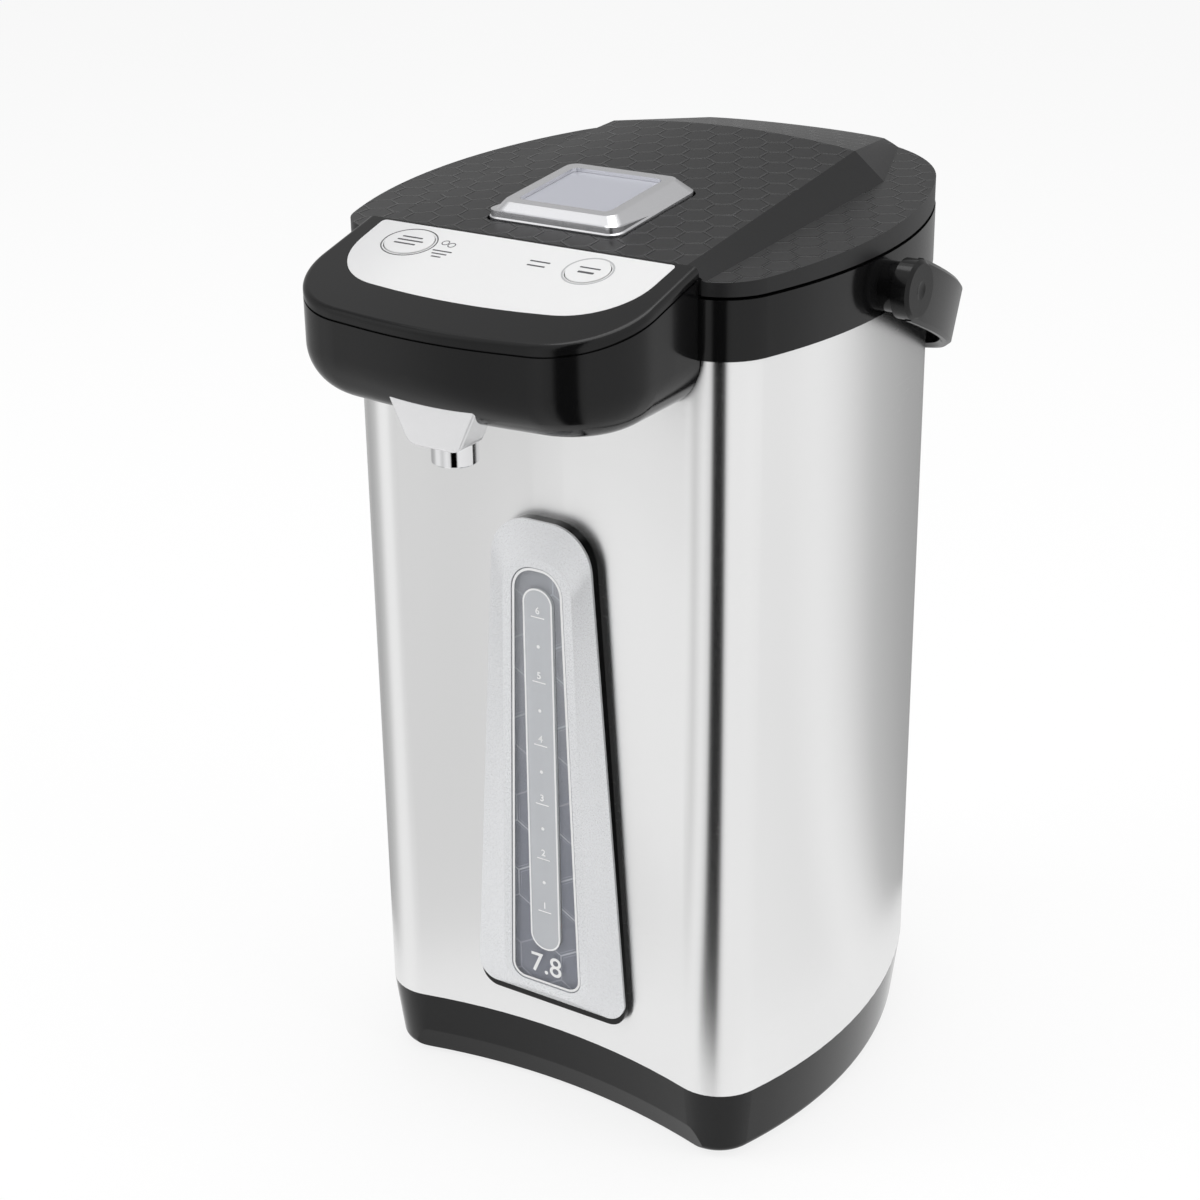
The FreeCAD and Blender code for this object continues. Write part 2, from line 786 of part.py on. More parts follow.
# Head
def head_wire(inset, z, back=front_y + 18.0):
    corners = [(-head_half + inset, back), (head_half - inset, back),
               (head_half - inset, head_corner_y + inset), (0, head_front_y + inset),
               (-head_half + inset, head_corner_y + inset)]
    radii = [0, 0, head_corner_radius - inset, head_bow_radius, head_corner_radius - inset]
    return plan_wire(corners, radii, z)


def head_blank(inset, z0, fillet, back):
    blank = prism(head_wire(inset, z0, back), Vector(0, 0, 90))
    front = edges_where(blank, lambda b: b.ZMax < z0 + 0.01 and b.YMin < back - 1)
    return blank.makeFillet(fillet, front)


def scoop(grow):
    radius = scoop_radius + grow
    shape = rod_x(-scoop_half, scoop_half, scoop_y, scoop_z, radius)
    for side in (-1, 1):
        shape = shape.fuse(Part.makeSphere(radius, Vector(side * scoop_half, scoop_y, scoop_z)))
    return shape


def head_outside():
    blank = head_blank(0, head_bottom_z, head_round, front_y + 18.0)
    return blank.cut(scoop(0))


def head_housing():
    body = head_outside().common(sloped_floor(groove_z0, head_slope, 300, 430))
    inner = head_blank(head_wall, head_bottom_z + head_wall, head_round - head_wall, bezel_back_y - head_wall)
    inner = inner.cut(scoop(head_wall))
    body = body.cut(inner)
    body = body.cut(slab(seat_gap, 300, jacket_top_z - seat_gap))
    body = body.cut(slab(collar_proud, jacket_top_z - seat_gap, collar_top_z + seat_gap))
    body = body.cut(block(-100, 100, bezel_back_y, 0, collar_top_z + seat_gap, 430))
    rim = sloped_floor(groove_z0, head_slope, 300, 430).cut(sloped_floor(groove_z0 - 0.9, head_slope, 299, 430))
    ring = prism(head_wire(-2, 350), Vector(0, 0, 60)).cut(prism(head_wire(0.9, 349), Vector(0, 0, 62)))
    body = body.cut(rim.common(ring))
    body = body.cut(post(0, spout_y, 330, feed_z + 2, spout_pipe_radius + slip_gap))
    body = body.cut(rod_y(0, -100, -60, feed_z - 2, outlet_slot_half + 1.5))
    body = body.cut(block(-5, 5, -100, -60, feed_z + 8, feed_z + 14))
    return body.removeSplitter()


def film_wire(inset, z):
    corners = [(-film_half + inset, film_back_y - inset), (film_half - inset, film_back_y - inset),
               (film_half - 1.3 - inset, film_corner_y + inset), (0, film_front_y + inset),
               (-film_half + 1.3 + inset, film_corner_y + inset)]
    return plan_wire(corners, [2.0, 2.0, film_round, head_bow_radius, film_round], z)


def film_space(inset, top, thickness):
    column = prism(film_wire(inset, 340), Vector(0, 0, 90))
    upper = sloped_floor(top, head_slope, 300, 430)
    lower = sloped_floor(top - thickness, head_slope, 299, 430)
    return column.common(upper.cut(lower))


def button_column(x, size, grow):
    major = size[0] + grow
    minor = size[1] + grow
    ring = Part.Wire([Part.Ellipse(Vector(x, button_y, 340), major, minor).toShape()])
    return prism(ring, Vector(0, 0, 90))


def buttons():
    return [(reboil_x, reboil_size), (dispense_x, dispense_size)]


def button_cap(x, size):
    column = button_column(x, size, 0)
    top = bezel_z0 + 0.35
    upper = sloped_floor(top, head_slope, 300, 430)
    lower = sloped_floor(top - button_height, head_slope, 299, 430)
    return column.common(upper.cut(lower))


def head_bezel():
    column = prism(head_wire(0, 340, bezel_back_y), Vector(0, 0, 90))
    upper = sloped_floor(bezel_z0, head_slope, 300, 430)
    lower = sloped_floor(groove_z0, head_slope, 299, 430)
    plate = column.common(upper.cut(lower))
    rim = edges_where(plate, lambda b: b.ZMax > groove_z0 + head_slope * b.YMax + 0.5
                      and b.YMin < bezel_back_y - 0.5 and b.ZLength < 17)
    top_edges = [e for e in rim if abs(e.CenterOfMass.z - bezel_z0 - head_slope * e.CenterOfMass.y) < 0.05]
    plate = plate.makeFillet(bezel_round, top_edges)
    plate = plate.cut(film_space(-slip_gap, bezel_z0 + 1, film_thickness + 1))
    for x, size in buttons():
        plate = plate.cut(button_column(x, size, button_gap))
    tray = prism(head_wire(10.0, 340, bezel_back_y - 10.0), Vector(0, 0, 90))
    under = sloped_floor(groove_z0 + 1.2, head_slope, 300, 430)
    ledges = under.cut(sloped_floor(groove_z0 - 1, head_slope, 299, 430))
    return plate.cut(tray.common(ledges)).removeSplitter()


def control_film():
    film = film_space(0, bezel_z0, film_thickness)
    for x, size in buttons():
        film = film.cut(button_column(x, size, button_gap))
    return film


def control_board():
    corners = [(-58, -89), (58, -89), (58, -118), (-58, -118)]
    column = prism(plan_wire(corners, [2.0] * 4, 340), Vector(0, 0, 90))
    top = groove_z0 - 3.4
    return column.common(sloped_floor(top, head_slope, 300, 430).cut(
        sloped_floor(top - board_thickness, head_slope, 299, 430)))


def board_posts():
    """Two ribs under the control board, standing on the head floor."""
    posts = []
    for side in (-1, 1):
        x = side * 52.0
        column = block(x - 1.5, x + 1.5, -116, -94, head_bottom_z + head_wall - 0.5, 430)
        posts.append(column.common(sloped_floor(groove_z0 - 3.4 - board_thickness, head_slope, 300, 430)))
    return posts


def key_switches():
    keys = []
    for x, size in buttons():
        seat = groove_z0 - 3.4
        column = block(x - 3, x + 3, button_y - 3, button_y + 3, 340, 430)
        body = column.common(sloped_floor(seat + 2.2, head_slope, 300, 430).cut(
            sloped_floor(seat, head_slope, 299, 430)))
        keys.append(body)
    return Part.makeCompound(keys)


def signal_lamps():
    lamps = []
    for x in (-24.0, 24.0):
        seat = groove_z0 - 3.4
        column = post(x, button_y, 340, 430, 1.6)
        lamps.append(column.common(sloped_floor(seat + 3.6, head_slope, 300, 430).cut(
            sloped_floor(seat, head_slope, 299, 430))))
    return Part.makeCompound(lamps)


# Spout
def spout_cover():
    corners = [(-cover_low_half, cover_low_z), (cover_low_half, cover_low_z),
               (cover_top_half, cover_top_z), (-cover_top_half, cover_top_z)]
    outer = prism(face_wire(corners, [6.0, 6.0, 0, 0], cover_front_y),
                  Vector(0, cover_back_y - cover_front_y, 0))
    rim = edges_where(outer, lambda b: b.YMax < cover_front_y + 0.01 and b.ZMin < cover_top_z - 1)
    outer = outer.makeFillet(1.4, rim)
    solid = outer.cut(head_outside())
    inner = post(0, spout_y, 300, 360, nozzle_radius + slip_gap)
    return solid.cut(inner).removeSplitter()


def spout_elbow():
    body = post(0, spout_y, nozzle_high_z + 0.4, feed_z + 7, spout_pipe_radius)
    tip = post(0, spout_y, nozzle_low_z + 4, nozzle_high_z + 1, nozzle_bore - slip_gap)
    arm = rod_y(0, spout_y, spout_y + 20, feed_z, feed_radius - slip_gap)
    solid = body.fuse(tip).fuse(arm)
    bore = post(0, spout_y, nozzle_low_z, feed_z + 4.5, 4.4)
    feed = rod_y(0, spout_y, spout_y + 30, feed_z, feed_radius - 1.3)
    return solid.cut(bore).cut(feed).removeSplitter()


def spout_nozzle():
    ring = pipe(0, spout_y, nozzle_low_z, nozzle_high_z, nozzle_radius, nozzle_bore)
    lip = edges_where(ring, lambda b: b.ZMax < nozzle_low_z + 0.01)
    step = pipe(0, spout_y, nozzle_neck_z, nozzle_high_z + 1, nozzle_radius + 1, nozzle_radius - nozzle_neck_step)
    return ring.makeChamfer(0.5, lip).cut(step)


def feed_points():
    """From the top of the level tube, in behind the jacket, up and out to the spout."""
    shift = abs(tube_y - hose_y)
    return [Vector(0, tube_y, tube_high_z - hose_overlap), Vector(0, tube_y, tube_high_z + 3),
            Vector(0, hose_y, tube_high_z + 3 + shift), Vector(0, hose_y, feed_z),
            Vector(0, spout_y + spout_pipe_radius + 3.0, feed_z)]


def hose_solid(points):
    inner = tube_radius + slip_gap
    return bent_tube(points, inner + hose_wall, inner)


# Level gauge
def gauge_wire(grow, y, low_lift=0.0):
    corners = [(-gauge_low_half - grow, gauge_low_z - grow + low_lift),
               (gauge_low_half + grow, gauge_low_z - grow + low_lift),
               (gauge_high_half + grow, gauge_high_z + grow), (-gauge_high_half - grow, gauge_high_z + grow)]
    radii = [gauge_low_round + grow] * 2 + [gauge_high_round + grow] * 2
    return face_wire(corners, radii, y)


def window_wire(grow, y):
    corners = [(-window_low_half - grow, window_low_z - grow), (window_low_half + grow, window_low_z - grow),
               (window_high_half + grow, window_high_z + grow), (-window_high_half - grow, window_high_z + grow)]
    radii = [window_low_round + grow] * 2 + [window_high_round + grow] * 2
    return face_wire(corners, radii, y)


def gauge_base():
    depth = gauge_base_y - front_y - 8
    block_out = prism(gauge_wire(-0.4, gauge_base_y), Vector(0, -depth, 0))
    block_out = block_out.cut(slab(slip_gap, gauge_low_z - 20, gauge_high_z + 20))
    hollow = prism(window_wire(1.5, gauge_base_y - 1), Vector(0, 12, 0))
    pocket = block(-gauge_slot_half + 1, gauge_slot_half - 1, gauge_base_y + 0.8, front_y + 6,
                   gauge_slot_low_z, gauge_slot_high_z)
    return block_out.cut(hollow).cut(pocket).removeSplitter()


def gauge_bezel():
    lift = 4.0
    back = gauge_wire(0, gauge_base_y, lift)
    rim = gauge_wire(0, gauge_rim_y, lift)
    face = window_wire(window_rim + 2.0, gauge_face_y)
    lower = Part.makeLoft([back, rim], True, True)
    upper = Part.makeLoft([rim, face], True, True)
    body = lower.fuse(upper).removeSplitter()
    opening = prism(window_wire(0, gauge_face_y - 2), Vector(0, 12, 0))
    seat = prism(window_wire(1.6, gauge_face_y + window_thickness + 0.4), Vector(0, 12, 0))
    return body.cut(opening).cut(seat).removeSplitter()


def gauge_window():
    y0 = gauge_face_y + 0.4
    step = prism(window_wire(-slip_gap, y0), Vector(0, window_thickness, 0))
    flange = prism(window_wire(1.4, y0 + window_thickness), Vector(0, 0.6, 0))
    return step.fuse(flange).removeSplitter()


def gauge_panel():
    y0 = gauge_face_y + 0.4 + window_thickness + 0.6 + slip_gap
    sheet = prism(window_wire(1.4, y0), Vector(0, 0.8, 0))
    corners = [(-panel_slot_half, panel_slot_low_z), (panel_slot_half, panel_slot_low_z),
               (panel_slot_half - 0.4, panel_slot_high_z), (-panel_slot_half + 0.4, panel_slot_high_z)]
    slot = prism(face_wire(corners, [panel_slot_half - 0.5] * 4, y0 - 1), Vector(0, 5, 0))
    return sheet.cut(slot)


def level_tube():
    tube = pipe(0, tube_y, tube_low_z, tube_high_z, tube_radius, tube_bore)
    stop = post(0, tube_y, float_z - float_radius - 3.0, float_z - float_radius - seat_gap, tube_bore)
    stop = stop.cut(post(0, tube_y, 0, 300, 1.6))
    return tube.fuse(stop).removeSplitter()


def float_ball():
    return Part.makeSphere(float_radius, Vector(0, tube_y, float_z))


# Handle
def handle_ring(z0, z1):
    outer = slab(handle_clear + handle_thick, z0, z1, handle_back_y)
    inner = slab(handle_clear, z0 - 1, z1 + 1, handle_back_y)
    ring = outer.cut(inner)
    return ring.cut(block(-300, 300, -300, pivot_y, z0 - 2, z1 + 2))


def carry_handle():
    half = handle_height / 2
    ring = handle_ring(pivot_z - half, pivot_z + half)
    long_edges = edges_where(ring, lambda b: b.ZLength < 0.01 and b.YMax > pivot_y + 0.5 and
                             b.XLength + b.YLength > 8)
    ring = ring.makeChamfer(1.5, long_edges)
    for side in (-1, 1):
        a = min(side * handle_eye_in_x, side * handle_eye_out_x)
        eye = rod_x(a, a + handle_eye_out_x - handle_eye_in_x, pivot_y, pivot_z, handle_eye_radius)
        outer_x = side * handle_eye_out_x
        rim = edges_where(eye, lambda b: b.XLength < 0.01 and abs(b.XMin - outer_x) < 0.01)
        ring = ring.fuse(eye.makeChamfer(1.4, rim))
    for side in (-1, 1):
        a = min(side * (handle_eye_in_x - 1), side * (handle_eye_out_x - 1.8))
        hole = rod_x(a, a + handle_eye_out_x - handle_eye_in_x - 0.8, pivot_y, pivot_z,
                     pivot_radius + pin_clearance)
        ring = ring.cut(hole)
        dimple = Part.makeSphere(9.0, Vector(side * (handle_eye_out_x + 8.2), pivot_y, pivot_z))
        ring = ring.cut(dimple)
    ring.rotate(Vector(0, pivot_y, pivot_z), Vector(1, 0, 0), -handle_droop_deg)
    return ring.removeSplitter()


def handle_pivots():
    pins = []
    for side in (-1, 1):
        a = min(side * (body_half_width - 2.6), side * (handle_eye_out_x - 2.1))
        pins.append(rod_x(a, a + handle_eye_out_x - body_half_width + 0.5, pivot_y, pivot_z, pivot_radius))
    return Part.makeCompound(pins)


# Tank and works under it
def inner_tank():
    """Rolled wall of the tank, with its shoulder, neck and flange."""
    r = tank_radius
    w = tank_wall
    shoulder_z = deck_z - 12.0
    flange_z = deck_z - 2.6
    low = tank_floor_z + tank_round
    outside = [(r, low), (r, shoulder_z - 6), (tank_neck_radius, shoulder_z),
               (tank_neck_radius, flange_z - w), (tank_flange_radius, flange_z - w),
               (tank_flange_radius, flange_z)]
    inside = [(tank_neck_radius - w, flange_z), (tank_neck_radius - w, shoulder_z - 0.3),
              (r - w, shoulder_z - 6.3), (r - w, low)]
    return turned(outside + inside, 0, mouth_y)


def tank_bottom():
    """Pressed bottom of the tank, with the outlet to the pump."""
    r = tank_radius
    w = tank_wall
    z = tank_floor_z
    turn = tank_round * 0.29
    outside = [(0, z), (r - tank_round, z), (r - turn, z + turn), (r, z + tank_round)]
    inside = [(r - w, z + tank_round), (r - turn - w * 0.7, z + turn + w * 0.7), (r - tank_round, z + w), (0, z + w)]
    dish = turned(outside + inside, 0, mouth_y)
    spout = post(0, outlet_y, z - 7, z + w, outlet_radius)
    return dish.fuse(spout).cut(post(0, outlet_y, z - 8, z + 2, outlet_radius - w)).removeSplitter()


def tank_seal():
    z0 = deck_z - 2.6 + slip_gap
    return pipe(0, mouth_y, z0, deck_z - slip_gap, tank_flange_radius, mouth_radius + 1.8)


def tank_heater():
    z1 = tank_floor_z
    ring = pipe(0, mouth_y + 8, z1 - heater_thickness, z1, heater_radius, heater_radius - heater_ring)
    lug = [post(sx * (heater_radius - 11), mouth_y + 8, z1 - heater_thickness - 5, z1 - heater_thickness + 1, 2.5)
           for sx in (-1, 1)]
    return ring.fuse(fuse_all(lug)).removeSplitter()


def thermostat():
    z = tank_floor_z - 0.1
    disc = post(0, mouth_y + 8, z - 9, z, 9.0)
    tabs = [block(sx * 6 - 1.5, sx * 6 + 1.5, mouth_y + 7.6, mouth_y + 8.4, z - 16, z - 8.5) for sx in (-1, 1)]
    return disc.fuse(fuse_all(tabs)).removeSplitter()


def pump_housing():
    outer = post(0, pump_y, pump_low_z, pump_high_z, pump_radius)
    inlet = post(0, pump_y, pump_high_z - 1, pump_high_z + 6, outlet_radius)
    exit_z = (pump_low_z + pump_high_z) / 2
    arm = rod_y(0, pump_y - pump_radius - 8, pump_y, exit_z, outlet_radius - 0.6)
    body = outer.fuse(inlet).fuse(arm)
    body = body.cut(post(0, pump_y, pump_low_z + 2, pump_high_z - 2, impeller_radius + 1.5))
    body = body.cut(post(0, pump_y, pump_high_z - 3, pump_high_z + 8, outlet_radius - 1.2))
    body = body.cut(rod_y(0, pump_y - pump_radius - 9, pump_y - 5, exit_z, outlet_radius - 1.8))
    return body.removeSplitter()


def pump_motor():
    can = post(0, pump_y, motor_low_z + 2, pump_low_z - slip_gap, motor_radius)
    can = can.makeChamfer(1.5, edges_where(can, lambda b: b.ZMax < motor_low_z + 2.01))
    return can.fuse(post(0, pump_y, motor_low_z, motor_low_z + 3, 4.0)).removeSplitter()


def impeller():
    z0 = pump_low_z + 2.4
    hub = post(0, pump_y, z0, pump_high_z - 3.4, 3.0)
    disc = post(0, pump_y, z0, z0 + 2.0, impeller_radius)
    vanes = []
    for k in range(impeller_vanes):
        vane = block(2.0, impeller_radius - 0.3, -0.6, 0.6, z0, z0 + 8.0)
        vane.translate(Vector(0, pump_y, 0))
        vane.rotate(Vector(0, pump_y, 0), Vector(0, 0, 1), 360.0 / impeller_vanes * k)
        vanes.append(vane)
    return hub.fuse(disc).fuse(fuse_all(vanes)).removeSplitter()


def tank_hose():
    z0 = pump_high_z + 0.4
    return pipe(0, pump_y, z0, tank_floor_z - 0.4, outlet_radius + slip_gap + hose_wall, outlet_radius + slip_gap)


def riser_points():
    """From the pump forwards, up behind the jacket and out to the foot of the level tube."""
    exit_z = (pump_low_z + pump_high_z) / 2
    shift = abs(tube_y - hose_y)
    return [Vector(0, pump_y - pump_radius - 1.0, exit_z), Vector(0, hose_y, exit_z),
            Vector(0, hose_y, tube_low_z - 3 - shift), Vector(0, tube_y, tube_low_z - 3),
            Vector(0, tube_y, tube_low_z + hose_overlap)]


def power_board():
    corners = [(-board_half_x, board_y - board_half_y), (board_half_x, board_y - board_half_y),
               (board_half_x, board_y + board_half_y), (-board_half_x, board_y + board_half_y)]
    return prism(plan_wire(corners, [2.0] * 4, board_z), Vector(0, 0, board_thickness))


def board_parts():
    z = board_z + board_thickness
    relay = block(-32, -16, 70, 88, z, z + 15)
    transformer = block(-8, 14, 64, 84, z, z + 17)
    caps = [post(24, y, z, z + 12, 4.5) for y in (66, 80)]
    terminal = block(-30, -6, 93, 101, z, z + 9)
    return Part.makeCompound([relay, transformer, terminal] + caps)


def main():
    save(base_shell(), "base_shell")
    save(base_plate(), "base_plate")
    save(rubber_feet(), "rubber_feet")
    save(base_screws(), "base_screws")
    save(power_inlet(), "power_inlet")
    save(inlet_pins(), "inlet_pins")
    save(outer_jacket(), "outer_jacket")
    save(top_collar(), "top_collar")
    save(lid_shell(), "lid_shell")
    save(lid_liner(), "lid_liner")
    save(lid_gasket(), "lid_gasket")
    save(press_frame(), "press_frame")
    save(press_insert(), "press_insert")
    save(bellows(), "bellows")
    save(press_spring(), "press_spring")
    save(lid_latch(), "lid_latch")
    save(latch_spring(), "latch_spring")
    save(hinge_pin(), "hinge_pin")
    housing = head_housing().fuse(fuse_all(board_posts())).removeSplitter()
    save(housing, "head_housing")
    save(head_bezel(), "head_bezel")
    save(control_film(), "control_film")
    save(button_cap(reboil_x, reboil_size), "reboil_button")
    save(button_cap(dispense_x, dispense_size), "dispense_button")
    save(control_board(), "control_board")
    save(key_switches(), "key_switches")
    save(signal_lamps(), "signal_lamps")
    save(spout_cover(), "spout_cover")
    save(spout_elbow(), "spout_elbow")
    save(spout_nozzle(), "spout_nozzle")
    save(hose_solid(feed_points()), "feed_hose")
    save(hose_solid(riser_points()), "riser_hose")
    save(gauge_base(), "gauge_base")
    save(gauge_bezel(), "gauge_bezel")
    save(gauge_window(), "gauge_window")
    save(gauge_panel(), "gauge_panel")
    save(level_tube(), "level_tube")
    save(float_ball(), "float_ball")
    save(carry_handle(), "carry_handle")
    save(handle_pivots(), "handle_pivots")
    save(inner_tank(), "inner_tank")
    save(tank_bottom(), "tank_bottom")
    save(tank_seal(), "tank_seal")
    save(tank_heater(), "tank_heater")
    save(thermostat(), "thermostat")
    save(pump_housing(), "pump_housing")
    save(pump_motor(), "pump_motor")
    save(impeller(), "impeller")
    save(tank_hose(), "tank_hose")
    save(power_board(), "power_board")
    save(board_parts(), "board_parts")


main()
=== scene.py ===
import json
import logging
import math
from dataclasses import dataclass, field
from enum import Enum
from typing import Callable, Dict, List, Optional, Sequence, Tuple, Union

import bpy
from mathutils import Matrix, Vector

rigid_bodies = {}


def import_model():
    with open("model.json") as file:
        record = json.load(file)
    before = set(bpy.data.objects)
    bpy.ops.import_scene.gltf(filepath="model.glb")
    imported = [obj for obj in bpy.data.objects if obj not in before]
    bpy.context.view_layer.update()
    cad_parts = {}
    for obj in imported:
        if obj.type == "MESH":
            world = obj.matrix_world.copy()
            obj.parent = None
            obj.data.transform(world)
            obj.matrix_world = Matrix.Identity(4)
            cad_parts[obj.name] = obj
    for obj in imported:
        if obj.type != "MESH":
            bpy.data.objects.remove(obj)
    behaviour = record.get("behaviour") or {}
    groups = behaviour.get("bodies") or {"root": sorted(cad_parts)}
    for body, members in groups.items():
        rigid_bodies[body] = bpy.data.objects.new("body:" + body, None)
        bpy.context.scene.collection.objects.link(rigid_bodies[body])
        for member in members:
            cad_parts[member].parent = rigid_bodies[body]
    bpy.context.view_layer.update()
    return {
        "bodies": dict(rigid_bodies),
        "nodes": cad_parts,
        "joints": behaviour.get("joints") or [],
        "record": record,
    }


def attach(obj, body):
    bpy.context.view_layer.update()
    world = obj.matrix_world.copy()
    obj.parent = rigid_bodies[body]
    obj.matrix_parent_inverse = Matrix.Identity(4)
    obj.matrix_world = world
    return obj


log = logging.getLogger("thermo_pot")

MM = 0.001
Colour = Tuple[float, float, float]
Point2 = Tuple[float, float]
Place = Callable[[float, float, float], Tuple[float, float, float]]
Operand = Union["Wire", float]

WHITE = (1.0, 1.0, 1.0, 1.0)


class Body(Enum):
    """Moving groups of the pot that a piece can ride on."""

    POT = "pot"
    REBOIL = "reboil"
    DISPENSE = "dispense"


class Wire:
    """One output socket, whose arithmetic adds Math nodes."""

    def __init__(self, board: "Board", socket: bpy.types.NodeSocket) -> None:
        """Keep the socket and the board that it is on."""
        self.board = board
        self.socket = socket

    def _math(self, operation: str, *others: Operand) -> "Wire":
        """Add a Math node with this wire first."""
        return self.board.maths(operation, self, *others)

    def __add__(self, other: Operand) -> "Wire":
        """Sum."""
        return self._math("ADD", other)

    def __radd__(self, other: Operand) -> "Wire":
        """Sum with a number on the left."""
        return self._math("ADD", other)

    def __sub__(self, other: Operand) -> "Wire":
        """Difference."""
        return self._math("SUBTRACT", other)

    def __rsub__(self, other: Operand) -> "Wire":
        """Difference with a number on the left."""
        return self.board.maths("SUBTRACT", other, self)

    def __mul__(self, other: Operand) -> "Wire":
        """Product."""
        return self._math("MULTIPLY", other)

    def __rmul__(self, other: Operand) -> "Wire":
        """Product with a number on the left."""
        return self._math("MULTIPLY", other)

    def __truediv__(self, other: Operand) -> "Wire":
        """Quotient."""
        return self._math("DIVIDE", other)

    def __mod__(self, other: Operand) -> "Wire":
        """Remainder that is never negative."""
        return self.board.maths("FLOORED_MODULO", self, other)

    def __abs__(self) -> "Wire":
        """Size without sign."""
        return self._math("ABSOLUTE")

    def __lt__(self, other: Operand) -> "Wire":
        """1 where this is below the other, else 0."""
        return self._math("LESS_THAN", other)

    def __gt__(self, other: Operand) -> "Wire":
        """1 where this is above the other, else 0."""
        return self._math("GREATER_THAN", other)

    def fade(self, start: float, stop: float) -> "Wire":
        """Soft step.

        Args:
            start: value that gives 0.
            stop: value that gives 1.

        Returns:
            A wire from 0 to 1.
        """
        return self.board.out(
            "ShaderNodeMapRange",
            {"interpolation_type": "SMOOTHSTEP"},
            {0: self, 1: start, 2: stop, 3: 0.0, 4: 1.0},
        )


class Board:
    """Node tree of one material or of the world."""

    def __init__(self, tree: bpy.types.NodeTree) -> None:
        """Start with an empty tree."""
        self.tree = tree
        self.tree.nodes.clear()

    def node(self, kind: str, settings: Optional[dict] = None,
             sockets: Optional[dict] = None) -> bpy.types.Node:
        """Add any node.

        Args:
            kind: the node's type name.
            settings: its own settings, or "stops" for a colour ramp, set first.
            sockets: values or wires for its inputs, by name or number.

        Returns:
            The new node.
        """
        made = self.tree.nodes.new(kind)
        for name, value in (settings or {}).items():
            if name == "stops":
                self._set_stops(made.color_ramp, value)
            else:
                setattr(made, name, value)
        for key, value in (sockets or {}).items():
            if isinstance(value, Wire):
                self.tree.links.new(value.socket, made.inputs[key])
            else:
                made.inputs[key].default_value = value
        return made

    @staticmethod
    def _set_stops(ramp: bpy.types.ColorRamp, stops: Sequence[Tuple[float, Colour]]) -> None:
        """Write the stops of a colour ramp."""
        while len(ramp.elements) > 1:
            ramp.elements.remove(ramp.elements[-1])
        ramp.elements[0].position = stops[0][0]
        ramp.elements[0].color = (*stops[0][1], 1.0)
        for place, colour in stops[1:]:
            ramp.elements.new(place).color = (*colour, 1.0)

    def out(self, kind: str, settings: Optional[dict] = None, sockets: Optional[dict] = None,
            output: Union[int, str] = 0) -> Wire:
        """Add any node and take one of its outputs."""
        return Wire(self, self.node(kind, settings, sockets).outputs[output])

    def maths(self, operation: str, *values: Operand) -> Wire:
        """Add a Math node on one to three values."""
        return self.out("ShaderNodeMath", {"operation": operation}, dict(enumerate(values)))

    def mix(self, factor: Operand, first: Union[Wire, Colour], second: Union[Wire, Colour]) -> Wire:
        """Blend two colours.

        Args:
            factor: 0 for the first, 1 for the second.
            first: a colour or a wire.
            second: a colour or a wire.

        Returns:
            The blended colour.
        """
        a = first if isinstance(first, Wire) else (*first, 1.0)
        b = second if isinstance(second, Wire) else (*second, 1.0)
        return self.out("ShaderNodeMix", {"data_type": "RGBA"}, {0: factor, 6: a, 7: b}, 2)

    def ramp(self, value: Wire, stops: Sequence[Tuple[float, Colour]]) -> Wire:
        """Turn a value into a colour through the stops."""
        return self.out("ShaderNodeValToRGB", {"stops": stops}, {0: value})

    def place(self) -> Wire:
        """Position on the piece, in metres of the shared frame."""
        return self.out("ShaderNodeTexCoord", {}, {}, "Object")

    def axes(self, scale: float = 1.0) -> Tuple[Wire, Wire, Wire]:
        """Position along X, Y and Z, each times the scale."""
        split = self.node("ShaderNodeSeparateXYZ", {}, {0: self.place()})
        return tuple(Wire(self, split.outputs[i]) * scale for i in range(3))

    def noise(self, size: float, detail: float = 2.0, stretch: Colour = (1.0, 1.0, 1.0)) -> Wire:
        """Soft noise.

        Args:
            size: width of its blots in metres.
            detail: finer layers.
            stretch: squeeze along X, Y and Z.

        Returns:
            A value from 0 to 1.
        """
        spot = self.out("ShaderNodeVectorMath", {"operation": "MULTIPLY"}, {0: self.place(), 1: stretch})
        return self.out("ShaderNodeTexNoise", {}, {"Vector": spot, "Scale": 1.0 / size, "Detail": detail})

    def bump(self, height: Wire, depth: float, strength: float = 1.0) -> Wire:
        """Relief from a height between 0 and 1, as deep as depth metres."""
        return self.out("ShaderNodeBump", {}, {"Strength": strength, "Distance": depth, "Height": height})

    def looked_at(self) -> Wire:
        """1 for what the camera, gloss or glass sees, 0 for light that falls on things."""
        path = self.node("ShaderNodeLightPath")
        camera, glossy, through = (Wire(self, path.outputs["Is %s Ray" % kind])
                                   for kind in ("Camera", "Glossy", "Transmission"))
        return self.maths("MAXIMUM", self.maths("MAXIMUM", camera, glossy), through)

    def cells(self, u: Wire, v: Wire, pitch: float) -> Wire:
        """Honeycomb.

        Args:
            u: first position in metres.
            v: second position in metres.
            pitch: distance between facing sides of one cell.

        Returns:
            0 at the middle of a cell and 0.5 on its edge.
        """
        root = math.sqrt(3.0)
        p, q = u / pitch, v / pitch
        ax, ay = p % 1.0 - 0.5, q % root - root / 2
        bx, by = (p - 0.5) % 1.0 - 0.5, (q - root / 2) % root - root / 2
        near = (ax * ax + ay * ay) < (bx * bx + by * by)
        x = abs(ax * near + bx * (1 - near))
        y = abs(ay * near + by * (1 - near))
        return self.maths("MAXIMUM", x, x * 0.5 + y * (root / 2))


def new_material(name: str) -> Tuple[bpy.types.Material, Board]:
    """Make an empty material and its board."""
    material = bpy.data.materials.new(name)
    material.use_nodes = True
    return material, Board(material.node_tree)


